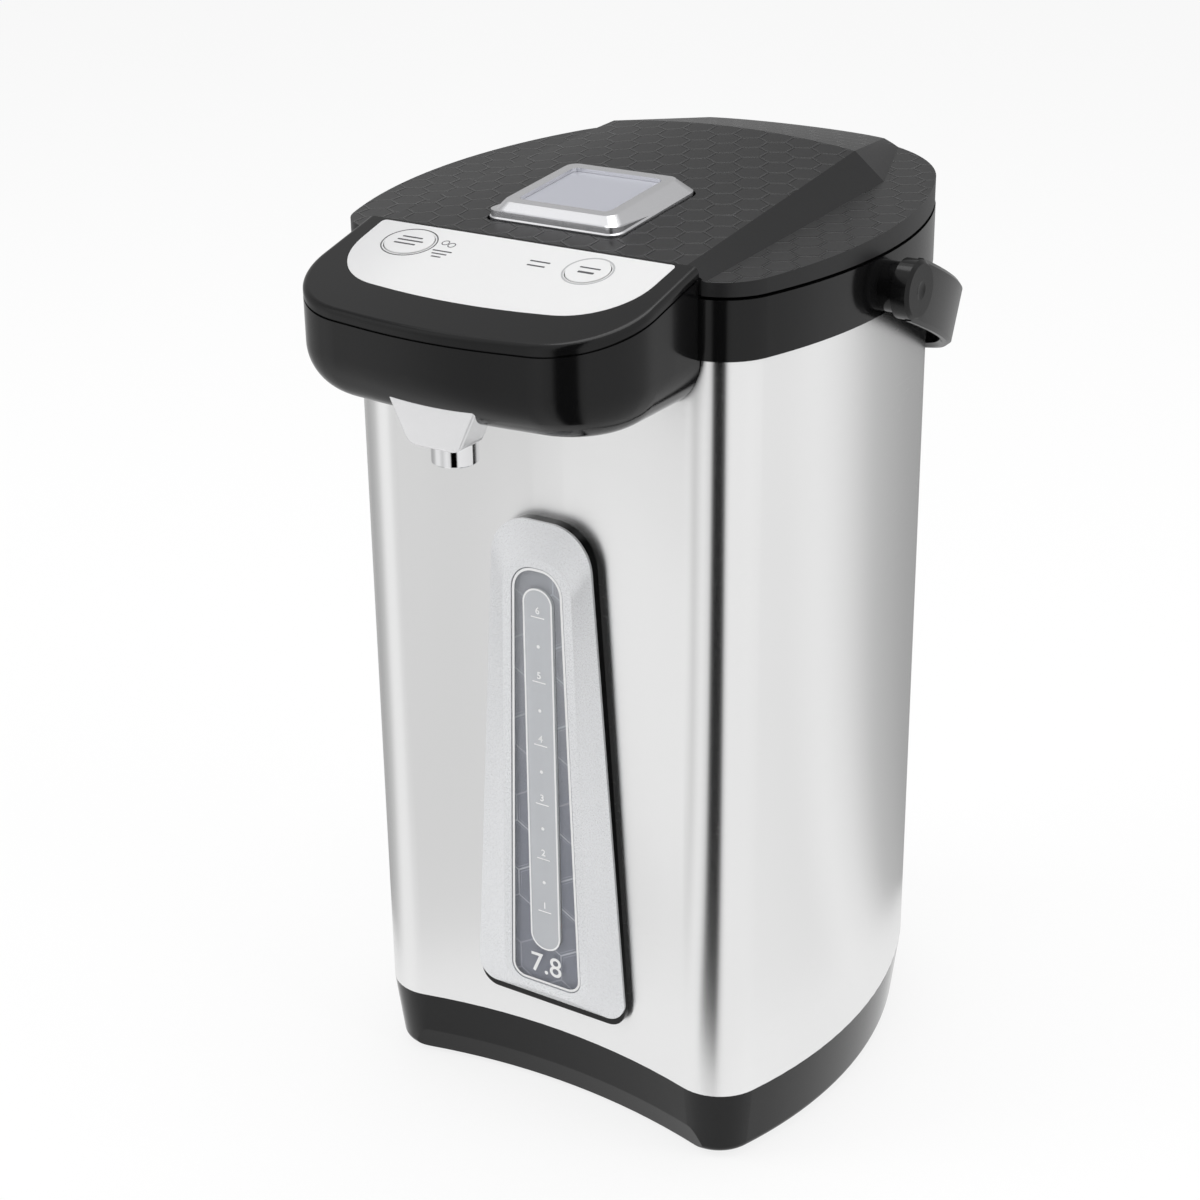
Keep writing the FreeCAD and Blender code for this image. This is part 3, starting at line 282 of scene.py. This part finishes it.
def finish_surface(board: Board, sockets: Dict[str, object]) -> None:
    """Close a board with a Principled shader that has these sockets."""
    shader = board.out("ShaderNodeBsdfPrincipled", {}, sockets, 0)
    board.node("ShaderNodeOutputMaterial", {}, {0: shader})


@dataclass(frozen=True)
class MouldedPlastic:
    """Moulded plastic with a faint flow pattern and a fine grain."""

    name: str
    colour: Colour
    roughness: float = 0.3
    grain: float = 0.00002
    grain_size: float = 0.0008
    sheen_level: float = 0.5
    coat: float = 0.0

    def material(self) -> bpy.types.Material:
        """Build the material."""
        material, board = new_material(self.name)
        flow = board.noise(0.06, 3.0)
        fine = board.noise(self.grain_size, 2.0)
        pale = tuple(min(1.0, c * 1.25 + 0.002) for c in self.colour)
        rough = self.roughness + (flow - 0.5) * 0.08 + (fine - 0.5) * 0.06
        finish_surface(board, {
            "Base Color": board.mix(flow * 0.5, self.colour, pale),
            "Roughness": rough,
            "Specular IOR Level": self.sheen_level,
            "Coat Weight": self.coat,
            "Coat Roughness": 0.04,
            "Normal": board.bump(fine, self.grain),
        })
        return material


@dataclass(frozen=True)
class HoneycombPlastic:
    """Dark lid plastic with a shallow honeycomb relief, its ridges coloured lighter as a painted highlight.
    """

    name: str
    colour: Colour = (0.012, 0.012, 0.0125)
    # line is the lighter ridge colour, a painted highlight on the relief
    line: Colour = (0.045, 0.045, 0.048)
    pitch: float = 0.0125

    def material(self) -> bpy.types.Material:
        """Build the material."""
        material, board = new_material(self.name)
        x, y, _ = board.axes()
        edge = board.cells(x, y, self.pitch)
        ridge = edge.fade(0.435, 0.485)
        tilt = board.node("ShaderNodeNewGeometry")
        facing = board.node("ShaderNodeSeparateXYZ", {}, {0: Wire(board, tilt.outputs["Normal"])})
        upward = Wire(board, facing.outputs[2]).fade(0.90, 0.96)
        fine = board.noise(0.0007, 2.0)
        # painted glints that break up the painted highlight on the ridges
        painted_glints = board.noise(0.004, 4.0).fade(0.60, 0.72)
        ridge_relief_and_highlight = ridge * upward
        finish_surface(board, {
            # painted highlight: the upward ridges take the lighter line colour; the relief itself is real
            # bump and roughness
            "Base Color": board.mix(ridge_relief_and_highlight * (0.25 + painted_glints * 0.75), self.colour, self.line),
            "Roughness": 0.36 - upward * 0.04 + (fine - 0.5) * 0.10 - ridge_relief_and_highlight * 0.12,
            "Specular IOR Level": 0.26,
            "Normal": board.bump(ridge_relief_and_highlight * 0.9 + fine * 0.06, 0.00035),
        })
        return material


@dataclass(frozen=True)
class BrushedSteel:
    """Steel sheet with fine lines brushed round the body."""

    name: str
    colour: Colour = (0.87, 0.87, 0.87)
    roughness: float = 0.26
    lines: float = 0.00018

    def material(self) -> bpy.types.Material:
        """Build the material."""
        material, board = new_material(self.name)
        brushed = board.noise(self.lines, 3.0, (0.02, 0.02, 1.0))
        cloud = board.noise(0.09, 2.0)
        darker = tuple(c * 0.93 for c in self.colour)
        finish_surface(board, {
            "Base Color": board.mix(brushed * 0.5 + cloud * 0.3, self.colour, darker),
            "Metallic": 1.0,
            "Roughness": self.roughness + (brushed - 0.5) * 0.06,
            "Anisotropic": 0.85,
            "Anisotropic Rotation": 0.25,
            "Normal": board.bump(brushed, 0.000004),
        })
        return material


@dataclass(frozen=True)
class BrightMetal:
    """Plated, drawn or cast metal."""

    name: str
    colour: Colour
    roughness: float = 0.12
    grain: float = 0.000004

    def material(self) -> bpy.types.Material:
        """Build the material."""
        material, board = new_material(self.name)
        cloud = board.noise(0.012, 3.0)
        fine = board.noise(0.0005, 2.0)
        tarnished = tuple(c * 0.86 for c in self.colour)
        finish_surface(board, {
            "Base Color": board.mix(cloud * 0.6, self.colour, tarnished),
            "Metallic": 1.0,
            "Roughness": self.roughness + (cloud - 0.5) * 0.06,
            "Normal": board.bump(fine, self.grain),
        })
        return material


@dataclass(frozen=True)
class SilverPaint:
    """Silver lacquer with metal flakes under a clear coat."""

    name: str
    colour: Colour = (0.80, 0.81, 0.825)
    metallic: float = 0.4
    roughness: float = 0.28
    coat: float = 0.5

    def material(self) -> bpy.types.Material:
        """Build the material."""
        material, board = new_material(self.name)
        flakes = board.noise(0.00025, 1.0)
        cloud = board.noise(0.03, 2.0)
        dim = tuple(c * 0.88 for c in self.colour)
        finish_surface(board, {
            "Base Color": board.mix(flakes * 0.45 + cloud * 0.25, self.colour, dim),
            "Metallic": self.metallic,
            "Roughness": self.roughness + (flakes - 0.5) * 0.10,
            "Coat Weight": self.coat,
            "Coat Roughness": 0.05,
            "Normal": board.bump(flakes, 0.000006),
        })
        return material


@dataclass(frozen=True)
class ControlSheet:
    """Printed silver sheet over the controls, with painted shade that darkens it towards its left edge."""

    name: str
    half: float = 0.0676
    pale: Colour = (0.80, 0.80, 0.80)
    # dim is the colour of the painted shade at the sheet's left edge
    dim: Colour = (0.64, 0.64, 0.65)

    def material(self) -> bpy.types.Material:
        """Build the material."""
        material, board = new_material(self.name)
        x, y, _ = board.axes()
        fine = board.noise(0.0004, 2.0)
        # painted shade: the sheet's colour darkens towards its left edge
        painted_left_shade = 1 - (x / self.half).fade(-1.05, -0.35)
        finish_surface(board, {
            "Base Color": board.mix(painted_left_shade * 0.6 + fine * 0.12, self.pale, self.dim),
            "Metallic": 0.2,
            "Roughness": 0.34 + (fine - 0.5) * 0.08,
            "Coat Weight": 0.35,
            "Coat Roughness": 0.12,
            "Normal": board.bump(fine, 0.000004),
        })
        return material


@dataclass(frozen=True)
class ClearPlastic:
    """Clear moulding, milky where a mask says so."""

    name: str
    colour: Colour = (0.86, 0.88, 0.91)
    alpha: float = 0.16
    milky_alpha: float = 0.5
    slot_half: float = 0.0
    slot_low: float = 0.0
    slot_high: float = 0.0

    def material(self) -> bpy.types.Material:
        """Build the material."""
        material, board = new_material(self.name)
        x, _, z = board.axes()
        haze = board.noise(0.01, 2.0)
        alpha = self.alpha + haze * 0.04
        if self.slot_half:
            run = board.maths("MAXIMUM", board.maths("MAXIMUM", self.slot_low - z, z - self.slot_high), 0.0)
            reach = board.maths("SQRT", x * x + run * run)
            inside = 1 - reach.fade(self.slot_half - 0.0003, self.slot_half)
            alpha = alpha + inside * (self.milky_alpha - self.alpha)
        finish_surface(board, {
            "Base Color": board.mix(haze, self.colour, tuple(c * 0.96 for c in self.colour)),
            "Roughness": 0.06 + haze * 0.03,
            "Alpha": alpha,
            "Coat Weight": 0.6,
            "Coat Roughness": 0.03,
        })
        return material


@dataclass(frozen=True)
class GaugeSheet:
    """Slate-blue sheet behind the window, with a thin outline pattern of cells."""

    name: str
    low: Colour = (0.115, 0.125, 0.175)
    high: Colour = (0.30, 0.31, 0.34)
    line: Colour = (0.55, 0.57, 0.63)
    pitch: float = 0.021

    def material(self) -> bpy.types.Material:
        """Build the material."""
        material, board = new_material(self.name)
        x, _, z = board.axes()
        edge = board.cells(x + 0.004, z, self.pitch)
        thin = edge.fade(0.478, 0.488)
        second = edge.fade(0.430, 0.438) * (1 - edge.fade(0.442, 0.450))
        patchy = board.noise(0.03, 2.0).fade(0.42, 0.6)
        height = z.fade(0.12, 0.25)
        ground = board.mix(height, self.low, self.high)
        marks = thin * (0.35 + patchy * 0.5) + second * patchy * 0.5
        finish_surface(board, {
            "Base Color": board.mix(marks, ground, self.line),
            "Roughness": 0.32 + (board.noise(0.0006, 2.0) - 0.5) * 0.08,
            "Specular IOR Level": 0.4,
        })
        return material


@dataclass(frozen=True)
class Ink:
    """Screen-printed ink, a little uneven."""

    name: str
    colour: Colour

    def material(self) -> bpy.types.Material:
        """Build the material."""
        material, board = new_material(self.name)
        grit = board.noise(0.0003, 2.0)
        thin = tuple(c * 0.9 + 0.02 for c in self.colour)
        finish_surface(board, {
            "Base Color": board.mix(grit * 0.6, self.colour, thin),
            "Roughness": 0.45 + (grit - 0.5) * 0.1,
        })
        return material


def dress(frame: dict, finish: bpy.types.Material, *nodes: str) -> None:
    """Give one material to solids of the frame.

    Args:
        finish: the material.
        nodes: names of the solids.
    """
    for name in nodes:
        solid = frame["nodes"][name]
        for slot in solid.material_slots:
            slot.material = finish
        log.info("dressed %s in %s", name, finish.name)


def settle(obj: bpy.types.Object, body: Body, finish: bpy.types.Material) -> bpy.types.Object:
    """Link a new piece, give it its material and let it ride on its body."""
    if obj.name not in bpy.context.scene.collection.objects:
        bpy.context.scene.collection.objects.link(obj)
    obj.data.materials.append(finish)
    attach(obj, body.value)
    log.info("made %s", obj.name)
    return obj


def rounded_outline(corners: Sequence[Point2], radii: Sequence[float], steps: int = 8) -> List[Point2]:
    """Closed outline through corners, each rounded by its radius.

    Args:
        corners: corner points, anticlockwise.
        radii: one radius for each corner.
        steps: straight runs in each rounding.

    Returns:
        The points of the outline.
    """
    points: List[Point2] = []
    count = len(corners)
    for i in range(count):
        here = Vector(corners[i])
        before = (Vector(corners[i - 1]) - here).normalized()
        after = (Vector(corners[(i + 1) % count]) - here).normalized()
        half = before.angle(after) / 2
        reach = radii[i] / math.tan(half)
        centre = here + (before + after).normalized() * (radii[i] / math.sin(half))
        start = here + before * reach - centre
        stop = here + after * reach - centre
        sweep = start.angle_signed(stop)
        for k in range(steps + 1):
            turn = Matrix.Rotation(-sweep * k / steps, 2)
            spot = centre + turn @ start
            points.append((spot.x, spot.y))
    return points


def ellipse(centre: Point2, half_u: float, half_v: float, steps: int = 64) -> List[Point2]:
    """Points of an ellipse, anticlockwise."""
    return [(centre[0] + half_u * math.cos(2 * math.pi * k / steps),
             centre[1] + half_v * math.sin(2 * math.pi * k / steps)) for k in range(steps)]


def mesh_piece(name: str, vertices: Sequence[Sequence[float]],
               faces: Sequence[Tuple[int, ...]]) -> bpy.types.Object:
    """Object with a mesh made from points in metres and faces, not yet linked."""
    mesh = bpy.data.meshes.new(name)
    mesh.from_pydata(vertices, [], faces)
    mesh.update()
    return bpy.data.objects.new(name, mesh)


def printed_line(name: str, outline: Sequence[Point2], width: float, place: Place) -> bpy.types.Object:
    """Closed printed line with a little thickness.

    Args:
        name: name of the piece.
        outline: middle of the line, in millimetres on the printed face.
        width: width of the line.
        place: turns a point and a lift into a place in the frame.

    Returns:
        The new mesh object, not yet linked.
    """
    count = len(outline)
    vertices = []
    for i in range(count):
        here = Vector(outline[i])
        along = (Vector(outline[(i + 1) % count]) - Vector(outline[i - 1])).normalized()
        side = Vector((along.y, -along.x)) * (width / 2)
        rim = ((here + side, 0.0), (here + side, 1.0), (here - side, 1.0), (here - side, 0.0))
        for spot, lift in rim:
            vertices.append([c * MM for c in place(spot.x, spot.y, lift)])
    faces = []
    for i in range(count):
        j = (i + 1) % count
        for k in range(4):
            m = (k + 1) % 4
            faces.append((4 * i + k, 4 * j + k, 4 * j + m, 4 * i + m))
    return mesh_piece(name, vertices, faces)


def printed_patches(name: str, outlines: Sequence[Sequence[Point2]], place: Place) -> bpy.types.Object:
    """Filled printed shapes with a little thickness, as one piece."""
    vertices: List[List[float]] = []
    faces: List[Tuple[int, ...]] = []
    for outline in outlines:
        first = len(vertices)
        count = len(outline)
        for lift in (0.0, 1.0):
            vertices += [[c * MM for c in place(u, v, lift)] for u, v in outline]
        faces.append(tuple(first + count + i for i in range(count)))
        faces.append(tuple(first + i for i in reversed(range(count))))
        faces += [(first + i, first + (i + 1) % count, first + count + (i + 1) % count, first + count + i)
                  for i in range(count)]
    return mesh_piece(name, vertices, faces)


def bar(centre: Point2, width: float, height: float) -> List[Point2]:
    """Outline of a short printed bar with rounded ends."""
    u, v = centre
    a, b = width / 2, height / 2
    return rounded_outline([(u - a, v - b), (u + a, v - b), (u + a, v + b), (u - a, v + b)],
                           [b * 0.6] * 4, 3)


@dataclass
class HeadControls:
    """Printed marks on the control sheet and its buttons."""

    bezel_z: float = 417.2
    slope: float = 0.265
    button_y: float = -98.0
    button_rise: float = 0.35
    reboil: Tuple[float, float, float] = (-45.5, 10.5, 8.6)
    dispense: Tuple[float, float, float] = (37.0, 8.8, 8.2)
    ink_lift: float = 0.06

    def on_sheet(self, x: float, y: float, lift: float) -> Tuple[float, float, float]:
        """Place on the sloping control sheet."""
        return x, y, self.bezel_z + self.slope * y + lift * self.ink_lift

    def on_button(self, x: float, y: float, lift: float) -> Tuple[float, float, float]:
        """Place on the top of a button cap."""
        return x, y, self.bezel_z + self.button_rise + self.slope * y + lift * self.ink_lift

    def build(self, ink: bpy.types.Material, grey: bpy.types.Material) -> None:
        """Print rings, bars and marks.

        Args:
            ink: dark ink.
            grey: pale grey ink.
        """
        x, a, b = self.reboil
        ring = printed_line("reboil_ring", ellipse((x, self.button_y), a + 1.3, b + 1.2), 0.5, self.on_sheet)
        settle(ring, Body.POT, ink)
        rows = [bar((x - 0.5, self.button_y + 3.0), 9.5, 0.8), bar((x, self.button_y + 0.6), 12.0, 0.8),
                bar((x - 1.0, self.button_y - 1.9), 10.0, 0.8)]
        settle(printed_patches("reboil_bars", rows, self.on_button), Body.REBOIL, ink)
        x, a, b = self.dispense
        ring = printed_line("dispense_ring", ellipse((x, self.button_y), a + 1.1, b + 1.1), 0.7,
                            self.on_sheet)
        settle(ring, Body.POT, grey)
        rows = [bar((x, self.button_y + 1.6), 9.0, 0.8), bar((x, self.button_y - 1.6), 7.0, 1.2)]
        settle(printed_patches("dispense_bars", rows, self.on_button), Body.DISPENSE, ink)
        marks = [bar((-28.0, -100.5 - 2.1 * k), w, 0.7) for k, w in enumerate((9.0, 7.0, 4.5))]
        marks += [bar((15.0, -97.0 - 3.0 * k), w, 0.8) for k, w in enumerate((9.0, 8.0))]
        settle(printed_patches("sheet_bars", marks, self.on_sheet), Body.POT, ink)
        for k, spot in enumerate(((-30.5, -94.6), (-27.0, -95.6))):
            sign = printed_line("sheet_sign_%d" % (k + 1), ellipse(spot, 1.5, 1.5, 24), 0.4,
                                self.on_sheet)
            settle(sign, Body.POT, ink)


@dataclass
class LevelScale:
    """White print on the window of the level gauge."""

    window_y: float = -83.2
    low_z: float = 63.0
    high_z: float = 259.5
    low_half: float = 18.2
    high_half: float = 12.4
    slot_low: float = 81.0
    slot_high: float = 250.0
    slot_half: float = 7.2
    numbers: List[Tuple[int, float]] = field(default_factory=lambda: [
        (6, 240.6), (5, 211.5), (4, 182.4), (3, 154.7), (2, 128.4), (1, 102.6)])

    def on_window(self, x: float, z: float, lift: float) -> Tuple[float, float, float]:
        """Place on the front of the window."""
        return x, self.window_y - 0.02 - lift * 0.05, z

    def build(self, white: bpy.types.Material) -> None:
        """Print the two outlines, the scale and the capacity."""
        inset = 1.0
        corners = [(-self.low_half + inset, self.low_z + inset), (self.low_half - inset, self.low_z + inset),
                   (self.high_half - inset, self.high_z - inset),
                   (-self.high_half + inset, self.high_z - inset)]
        rim = rounded_outline(corners, [6.0, 6.0, 10.0, 10.0], 10)
        settle(printed_line("window_outline", rim, 1.1, self.on_window), Body.POT, white)
        half = self.slot_half
        corners = [(-half, self.slot_low), (half, self.slot_low), (half - 0.4, self.slot_high),
                   (-half + 0.4, self.slot_high)]
        slot = rounded_outline(corners, [half - 0.3, half - 0.3, half - 0.7, half - 0.7], 10)
        settle(printed_line("slot_outline", slot, 0.8, self.on_window), Body.POT, white)
        bars = [bar((0.0, z - 2.9), 6.6, 0.5) for _, z in self.numbers]
        settle(printed_patches("scale_bars", bars, self.on_window), Body.POT, white)
        dots = []
        for (_, upper), (_, lower) in zip(self.numbers, self.numbers[1:]):
            dots.append(ellipse((0.0, (upper + lower) / 2 - 1.4), 0.8, 0.8, 16))
        settle(printed_patches("scale_dots", dots, self.on_window), Body.POT, white)
        for number, z in self.numbers:
            self.figure("scale_number_%d" % number, str(number), 4.4, z, white)
        self.figure("capacity_number", "7.8", 13.5, 72.6, white)

    def figure(self, name: str, words: str, size: float, z: float, white: bpy.types.Material) -> None:
        """Print plain figures.

        Args:
            name: name of the piece.
            words: the figures.
            size: height of the type in millimetres.
            z: height of their middle.
            white: the ink.
        """
        curve = bpy.data.curves.new(name, "FONT")
        curve.body = words
        curve.size = size * MM
        curve.extrude = 0.00002
        curve.offset = 0.00008
        curve.align_x = "CENTER"
        curve.align_y = "CENTER"
        curve.resolution_u = 4
        obj = bpy.data.objects.new(name, curve)
        obj.location = (0.0, (self.window_y - 0.05) * MM, z * MM)
        obj.rotation_euler = (math.pi / 2, 0.0, 0.0)
        settle(obj, Body.POT, white)


@dataclass
class Finishes:
    """All finishes of the pot, each given to the solids that have it."""

    def gloss_black(self) -> bpy.types.Material:
        """Piano-black plastic."""
        return MouldedPlastic("gloss_black_plastic", (0.004, 0.004, 0.0042), 0.13, 0.000004, 0.001,
                              0.24, 0.06).material()

    def dress_outside(self, frame: dict) -> None:
        """Dress the casing, lid, head and handle."""
        black = self.gloss_black()
        dress(frame, black, "head_housing", "head_bezel", "top_collar", "carry_handle", "gauge_base",
              "base_shell", "handle_pivots")
        dress(frame, HoneycombPlastic("honeycomb_lid_plastic").material(), "lid_shell")
        dress(frame, BrushedSteel("brushed_jacket_steel").material(), "outer_jacket")
        dress(frame, ControlSheet("control_sheet_print").material(), "control_film", "reboil_button",
              "dispense_button")
        for node, finish in (
                ("gauge_bezel", SilverPaint("silver_lacquer")),
                ("press_frame", SilverPaint("press_plate_silver", (0.78, 0.78, 0.80), 0.9, 0.2, 0.4)),
                ("press_insert", SilverPaint("press_panel_grey", (0.52, 0.53, 0.59), 0.35, 0.34, 0.3)),
                ("spout_cover", SilverPaint("spout_cover_silver", (0.84, 0.84, 0.85), 0.35, 0.25, 0.6))):
            dress(frame, finish.material(), node)
        dress(frame, BrightMetal("plated_ring", (0.84, 0.84, 0.85), 0.07).material(), "spout_nozzle")

    def dress_gauge(self, frame: dict) -> None:
        """Dress the level gauge."""
        window = ClearPlastic("gauge_window_clear", (0.72, 0.74, 0.77), 0.10, 0.62, 0.0072, 0.0882, 0.2430)
        dress(frame, window.material(), "gauge_window")
        dress(frame, GaugeSheet("gauge_sheet_print").material(), "gauge_panel")
        dress(frame, ClearPlastic("level_tube_clear", (0.8, 0.82, 0.84), 0.22).material(), "level_tube")
        dress(frame, MouldedPlastic("float_red", (0.62, 0.03, 0.02), 0.3).material(), "float_ball")

    def dress_inside(self, frame: dict) -> None:
        """Dress what shows with the lid open, from below and inside."""
        satin = MouldedPlastic("satin_black_plastic", (0.016, 0.016, 0.017), 0.42, 0.00003).material()
        dress(frame, satin, "base_plate", "power_inlet", "lid_liner", "lid_latch", "spout_elbow",
              "key_switches", "board_parts")
        rubber = MouldedPlastic("black_rubber", (0.014, 0.014, 0.014), 0.7, 0.00005, 0.0012, 0.3).material()
        dress(frame, rubber, "rubber_feet")
        silicone = MouldedPlastic("milky_silicone", (0.62, 0.61, 0.58), 0.5, 0.00003, 0.001, 0.4).material()
        dress(frame, silicone, "lid_gasket", "tank_seal", "feed_hose", "riser_hose", "tank_hose",
              "bellows")
        bright = BrightMetal("drawn_steel", (0.62, 0.61, 0.60), 0.22).material()
        dress(frame, bright, "inner_tank", "tank_bottom", "hinge_pin", "press_spring", "latch_spring",
              "base_screws", "thermostat", "pump_motor")
        dress(frame, BrightMetal("cast_aluminium", (0.55, 0.55, 0.56), 0.42, 0.00002).material(),
              "tank_heater")
        dress(frame, BrightMetal("contact_brass", (0.62, 0.46, 0.18), 0.25).material(), "inlet_pins")
        dress(frame, MouldedPlastic("pale_pump_plastic", (0.66, 0.66, 0.64), 0.4).material(),
              "pump_housing", "impeller")
        dress(frame, MouldedPlastic("circuit_green", (0.02, 0.13, 0.05), 0.35).material(),
              "control_board", "power_board")
        dress(frame, MouldedPlastic("lamp_red", (0.5, 0.03, 0.02), 0.2).material(), "signal_lamps")


@dataclass
class Studio:
    """Floor, lights, reflector bowl and camera."""

    eye: Colour = (0.5124, -0.8151, 0.6305)
    aim: Colour = (-0.01692, -0.01114, 0.21512)
    roll_degrees: float = -0.8
    lens: float = 72.0
    floor_reach: float = 6.0
    floor_white: float = 0.82
    fill: float = 0.62
    bowl_profile: Tuple[Point2, ...] = ((0.19, 0.003), (0.40, 0.012), (0.70, 0.20), (0.90, 0.75), (0.95, 1.6))
    bowl_steps: int = 96
    tones: List[Tuple[float, float]] = field(default_factory=lambda: [
        (-180, 0.45), (-165, 0.52), (-154, 0.62), (-148, 0.78), (-140, 0.92), (-125, 0.92), (-118, 0.78),
        (-110, 0.70), (-100, 0.86), (-92, 0.95), (-80, 0.80), (-75, 0.0), (-56, 0.0), (-52, 0.8),
        (-46, 0.95), (-20, 0.92), (20, 0.86), (32, 0.95), (42, 0.86), (56, 0.56), (76, 0.42), (96, 0.36),
        (125, 0.45), (150, 0.58), (180, 0.45)])

    def build(self) -> None:
        """Set up everything round the pot."""
        self.floor()
        self.bowl()
        self.world()
        self.lamps()
        self.camera()

    def floor(self) -> None:
        """Plain white floor."""
        mesh = bpy.data.meshes.new("studio_floor")
        reach = self.floor_reach
        mesh.from_pydata([(-reach, -reach, 0), (reach, -reach, 0), (reach, reach, 0), (-reach, reach, 0)], [],
                         [(0, 1, 2, 3)])
        floor = bpy.data.objects.new("studio_floor", mesh)
        bpy.context.scene.collection.objects.link(floor)
        material, board = new_material("floor_white")
        paint = board.out("ShaderNodeBsdfDiffuse", {}, {0: (0.93, 0.93, 0.93, 1.0)})
        white = board.out("ShaderNodeEmission", {}, {0: WHITE, 1: 1.0})
        share = board.looked_at() * self.floor_white
        mixed = board.out("ShaderNodeMixShader", {}, {0: share, 1: paint, 2: white})
        board.node("ShaderNodeOutputMaterial", {}, {0: mixed})
        mesh.materials.append(material)

    def bowl(self) -> None:
        """Reflector round the pot that only gloss and metal see."""
        profile = self.bowl_profile
        steps = self.bowl_steps
        vertices = [(r * math.cos(2 * math.pi * k / steps), r * math.sin(2 * math.pi * k / steps), z)
                    for r, z in profile for k in range(steps)]
        faces = [(i * steps + k, i * steps + (k + 1) % steps, (i + 1) * steps + (k + 1) % steps,
                  (i + 1) * steps + k) for i in range(len(profile) - 1) for k in range(steps)]
        mesh = bpy.data.meshes.new("reflector_bowl")
        mesh.from_pydata(vertices, [], faces)
        bowl = bpy.data.objects.new("reflector_bowl", mesh)
        bpy.context.scene.collection.objects.link(bowl)
        material, board = new_material("reflector_tones")
        x, y, _ = board.axes()
        turn = board.maths("ARCTAN2", y, x) / (2 * math.pi) + 0.5
        stops = [((az + 180) / 360, (tone, tone, tone)) for az, tone in self.tones]
        glow = board.out("ShaderNodeEmission", {}, {0: board.ramp(turn, stops), 1: 1.0})
        board.node("ShaderNodeOutputMaterial", {}, {0: glow})
        mesh.materials.append(material)
        bowl.visible_camera = False
        bowl.visible_diffuse = False
        bowl.visible_shadow = False
        bowl.visible_transmission = False

    def world(self) -> None:
        """White surroundings, full white to camera, gloss and glass."""
        world = bpy.data.worlds.new("studio_world")
        bpy.context.scene.world = world
        world.use_nodes = True
        board = Board(world.node_tree)
        strength = self.fill + board.looked_at() * (1.0 - self.fill)
        light = board.out("ShaderNodeBackground", {}, {0: WHITE, 1: strength})
        board.node("ShaderNodeOutputWorld", {}, {0: light})

    def lamps(self) -> None:
        """Three large soft lamps."""
        for name, spot, size, power in (("lamp_left", (-1.5, -1.3, 1.7), 1.4, 16.0),
                                        ("lamp_right", (1.7, 0.2, 1.4), 1.4, 10.0),
                                        ("lamp_top", (0.0, 0.2, 2.2), 1.6, 14.0)):
            data = bpy.data.lights.new(name, "AREA")
            data.shape = "DISK"
            data.size = size
            data.energy = power
            lamp = bpy.data.objects.new(name, data)
            lamp.location = spot
            lamp.rotation_euler = (Vector((0, 0, 0.2)) - Vector(spot)).to_track_quat("-Z", "Y").to_euler()
            bpy.context.scene.collection.objects.link(lamp)

    def camera(self) -> None:
        """Camera at the photograph's angle."""
        data = bpy.data.cameras.new("photo_camera")
        data.lens = self.lens
        data.sensor_width = 36.0
        data.clip_end = 50.0
        camera = bpy.data.objects.new("photo_camera", data)
        forward = (Vector(self.aim) - Vector(self.eye)).normalized()
        right = forward.cross(Vector((0, 0, 1))).normalized()
        up = right.cross(forward)
        roll = math.radians(self.roll_degrees)
        side = right * math.cos(roll) + up * math.sin(roll)
        top = up * math.cos(roll) - right * math.sin(roll)
        turn = Matrix((side, top, -forward)).transposed()
        camera.matrix_world = Matrix.Translation(self.eye) @ turn.to_4x4()
        bpy.context.scene.collection.objects.link(camera)
        bpy.context.scene.camera = camera
        bpy.context.scene.view_settings.view_transform = "Standard"


def main() -> None:
    """Build the looks round the loaded frame."""
    logging.basicConfig(level=logging.INFO, format="%(name)s: %(message)s")
    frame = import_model()
    finishes = Finishes()
    finishes.dress_outside(frame)
    finishes.dress_gauge(frame)
    finishes.dress_inside(frame)
    dark_ink = Ink("dark_ink", (0.05, 0.05, 0.055)).material()
    grey_ink = Ink("grey_ink", (0.42, 0.42, 0.43)).material()
    white_ink = Ink("white_ink", (0.88, 0.88, 0.88)).material()
    HeadControls().build(dark_ink, grey_ink)
    LevelScale().build(white_ink)
    Studio().build()


if __name__ == "__main__":
    main()
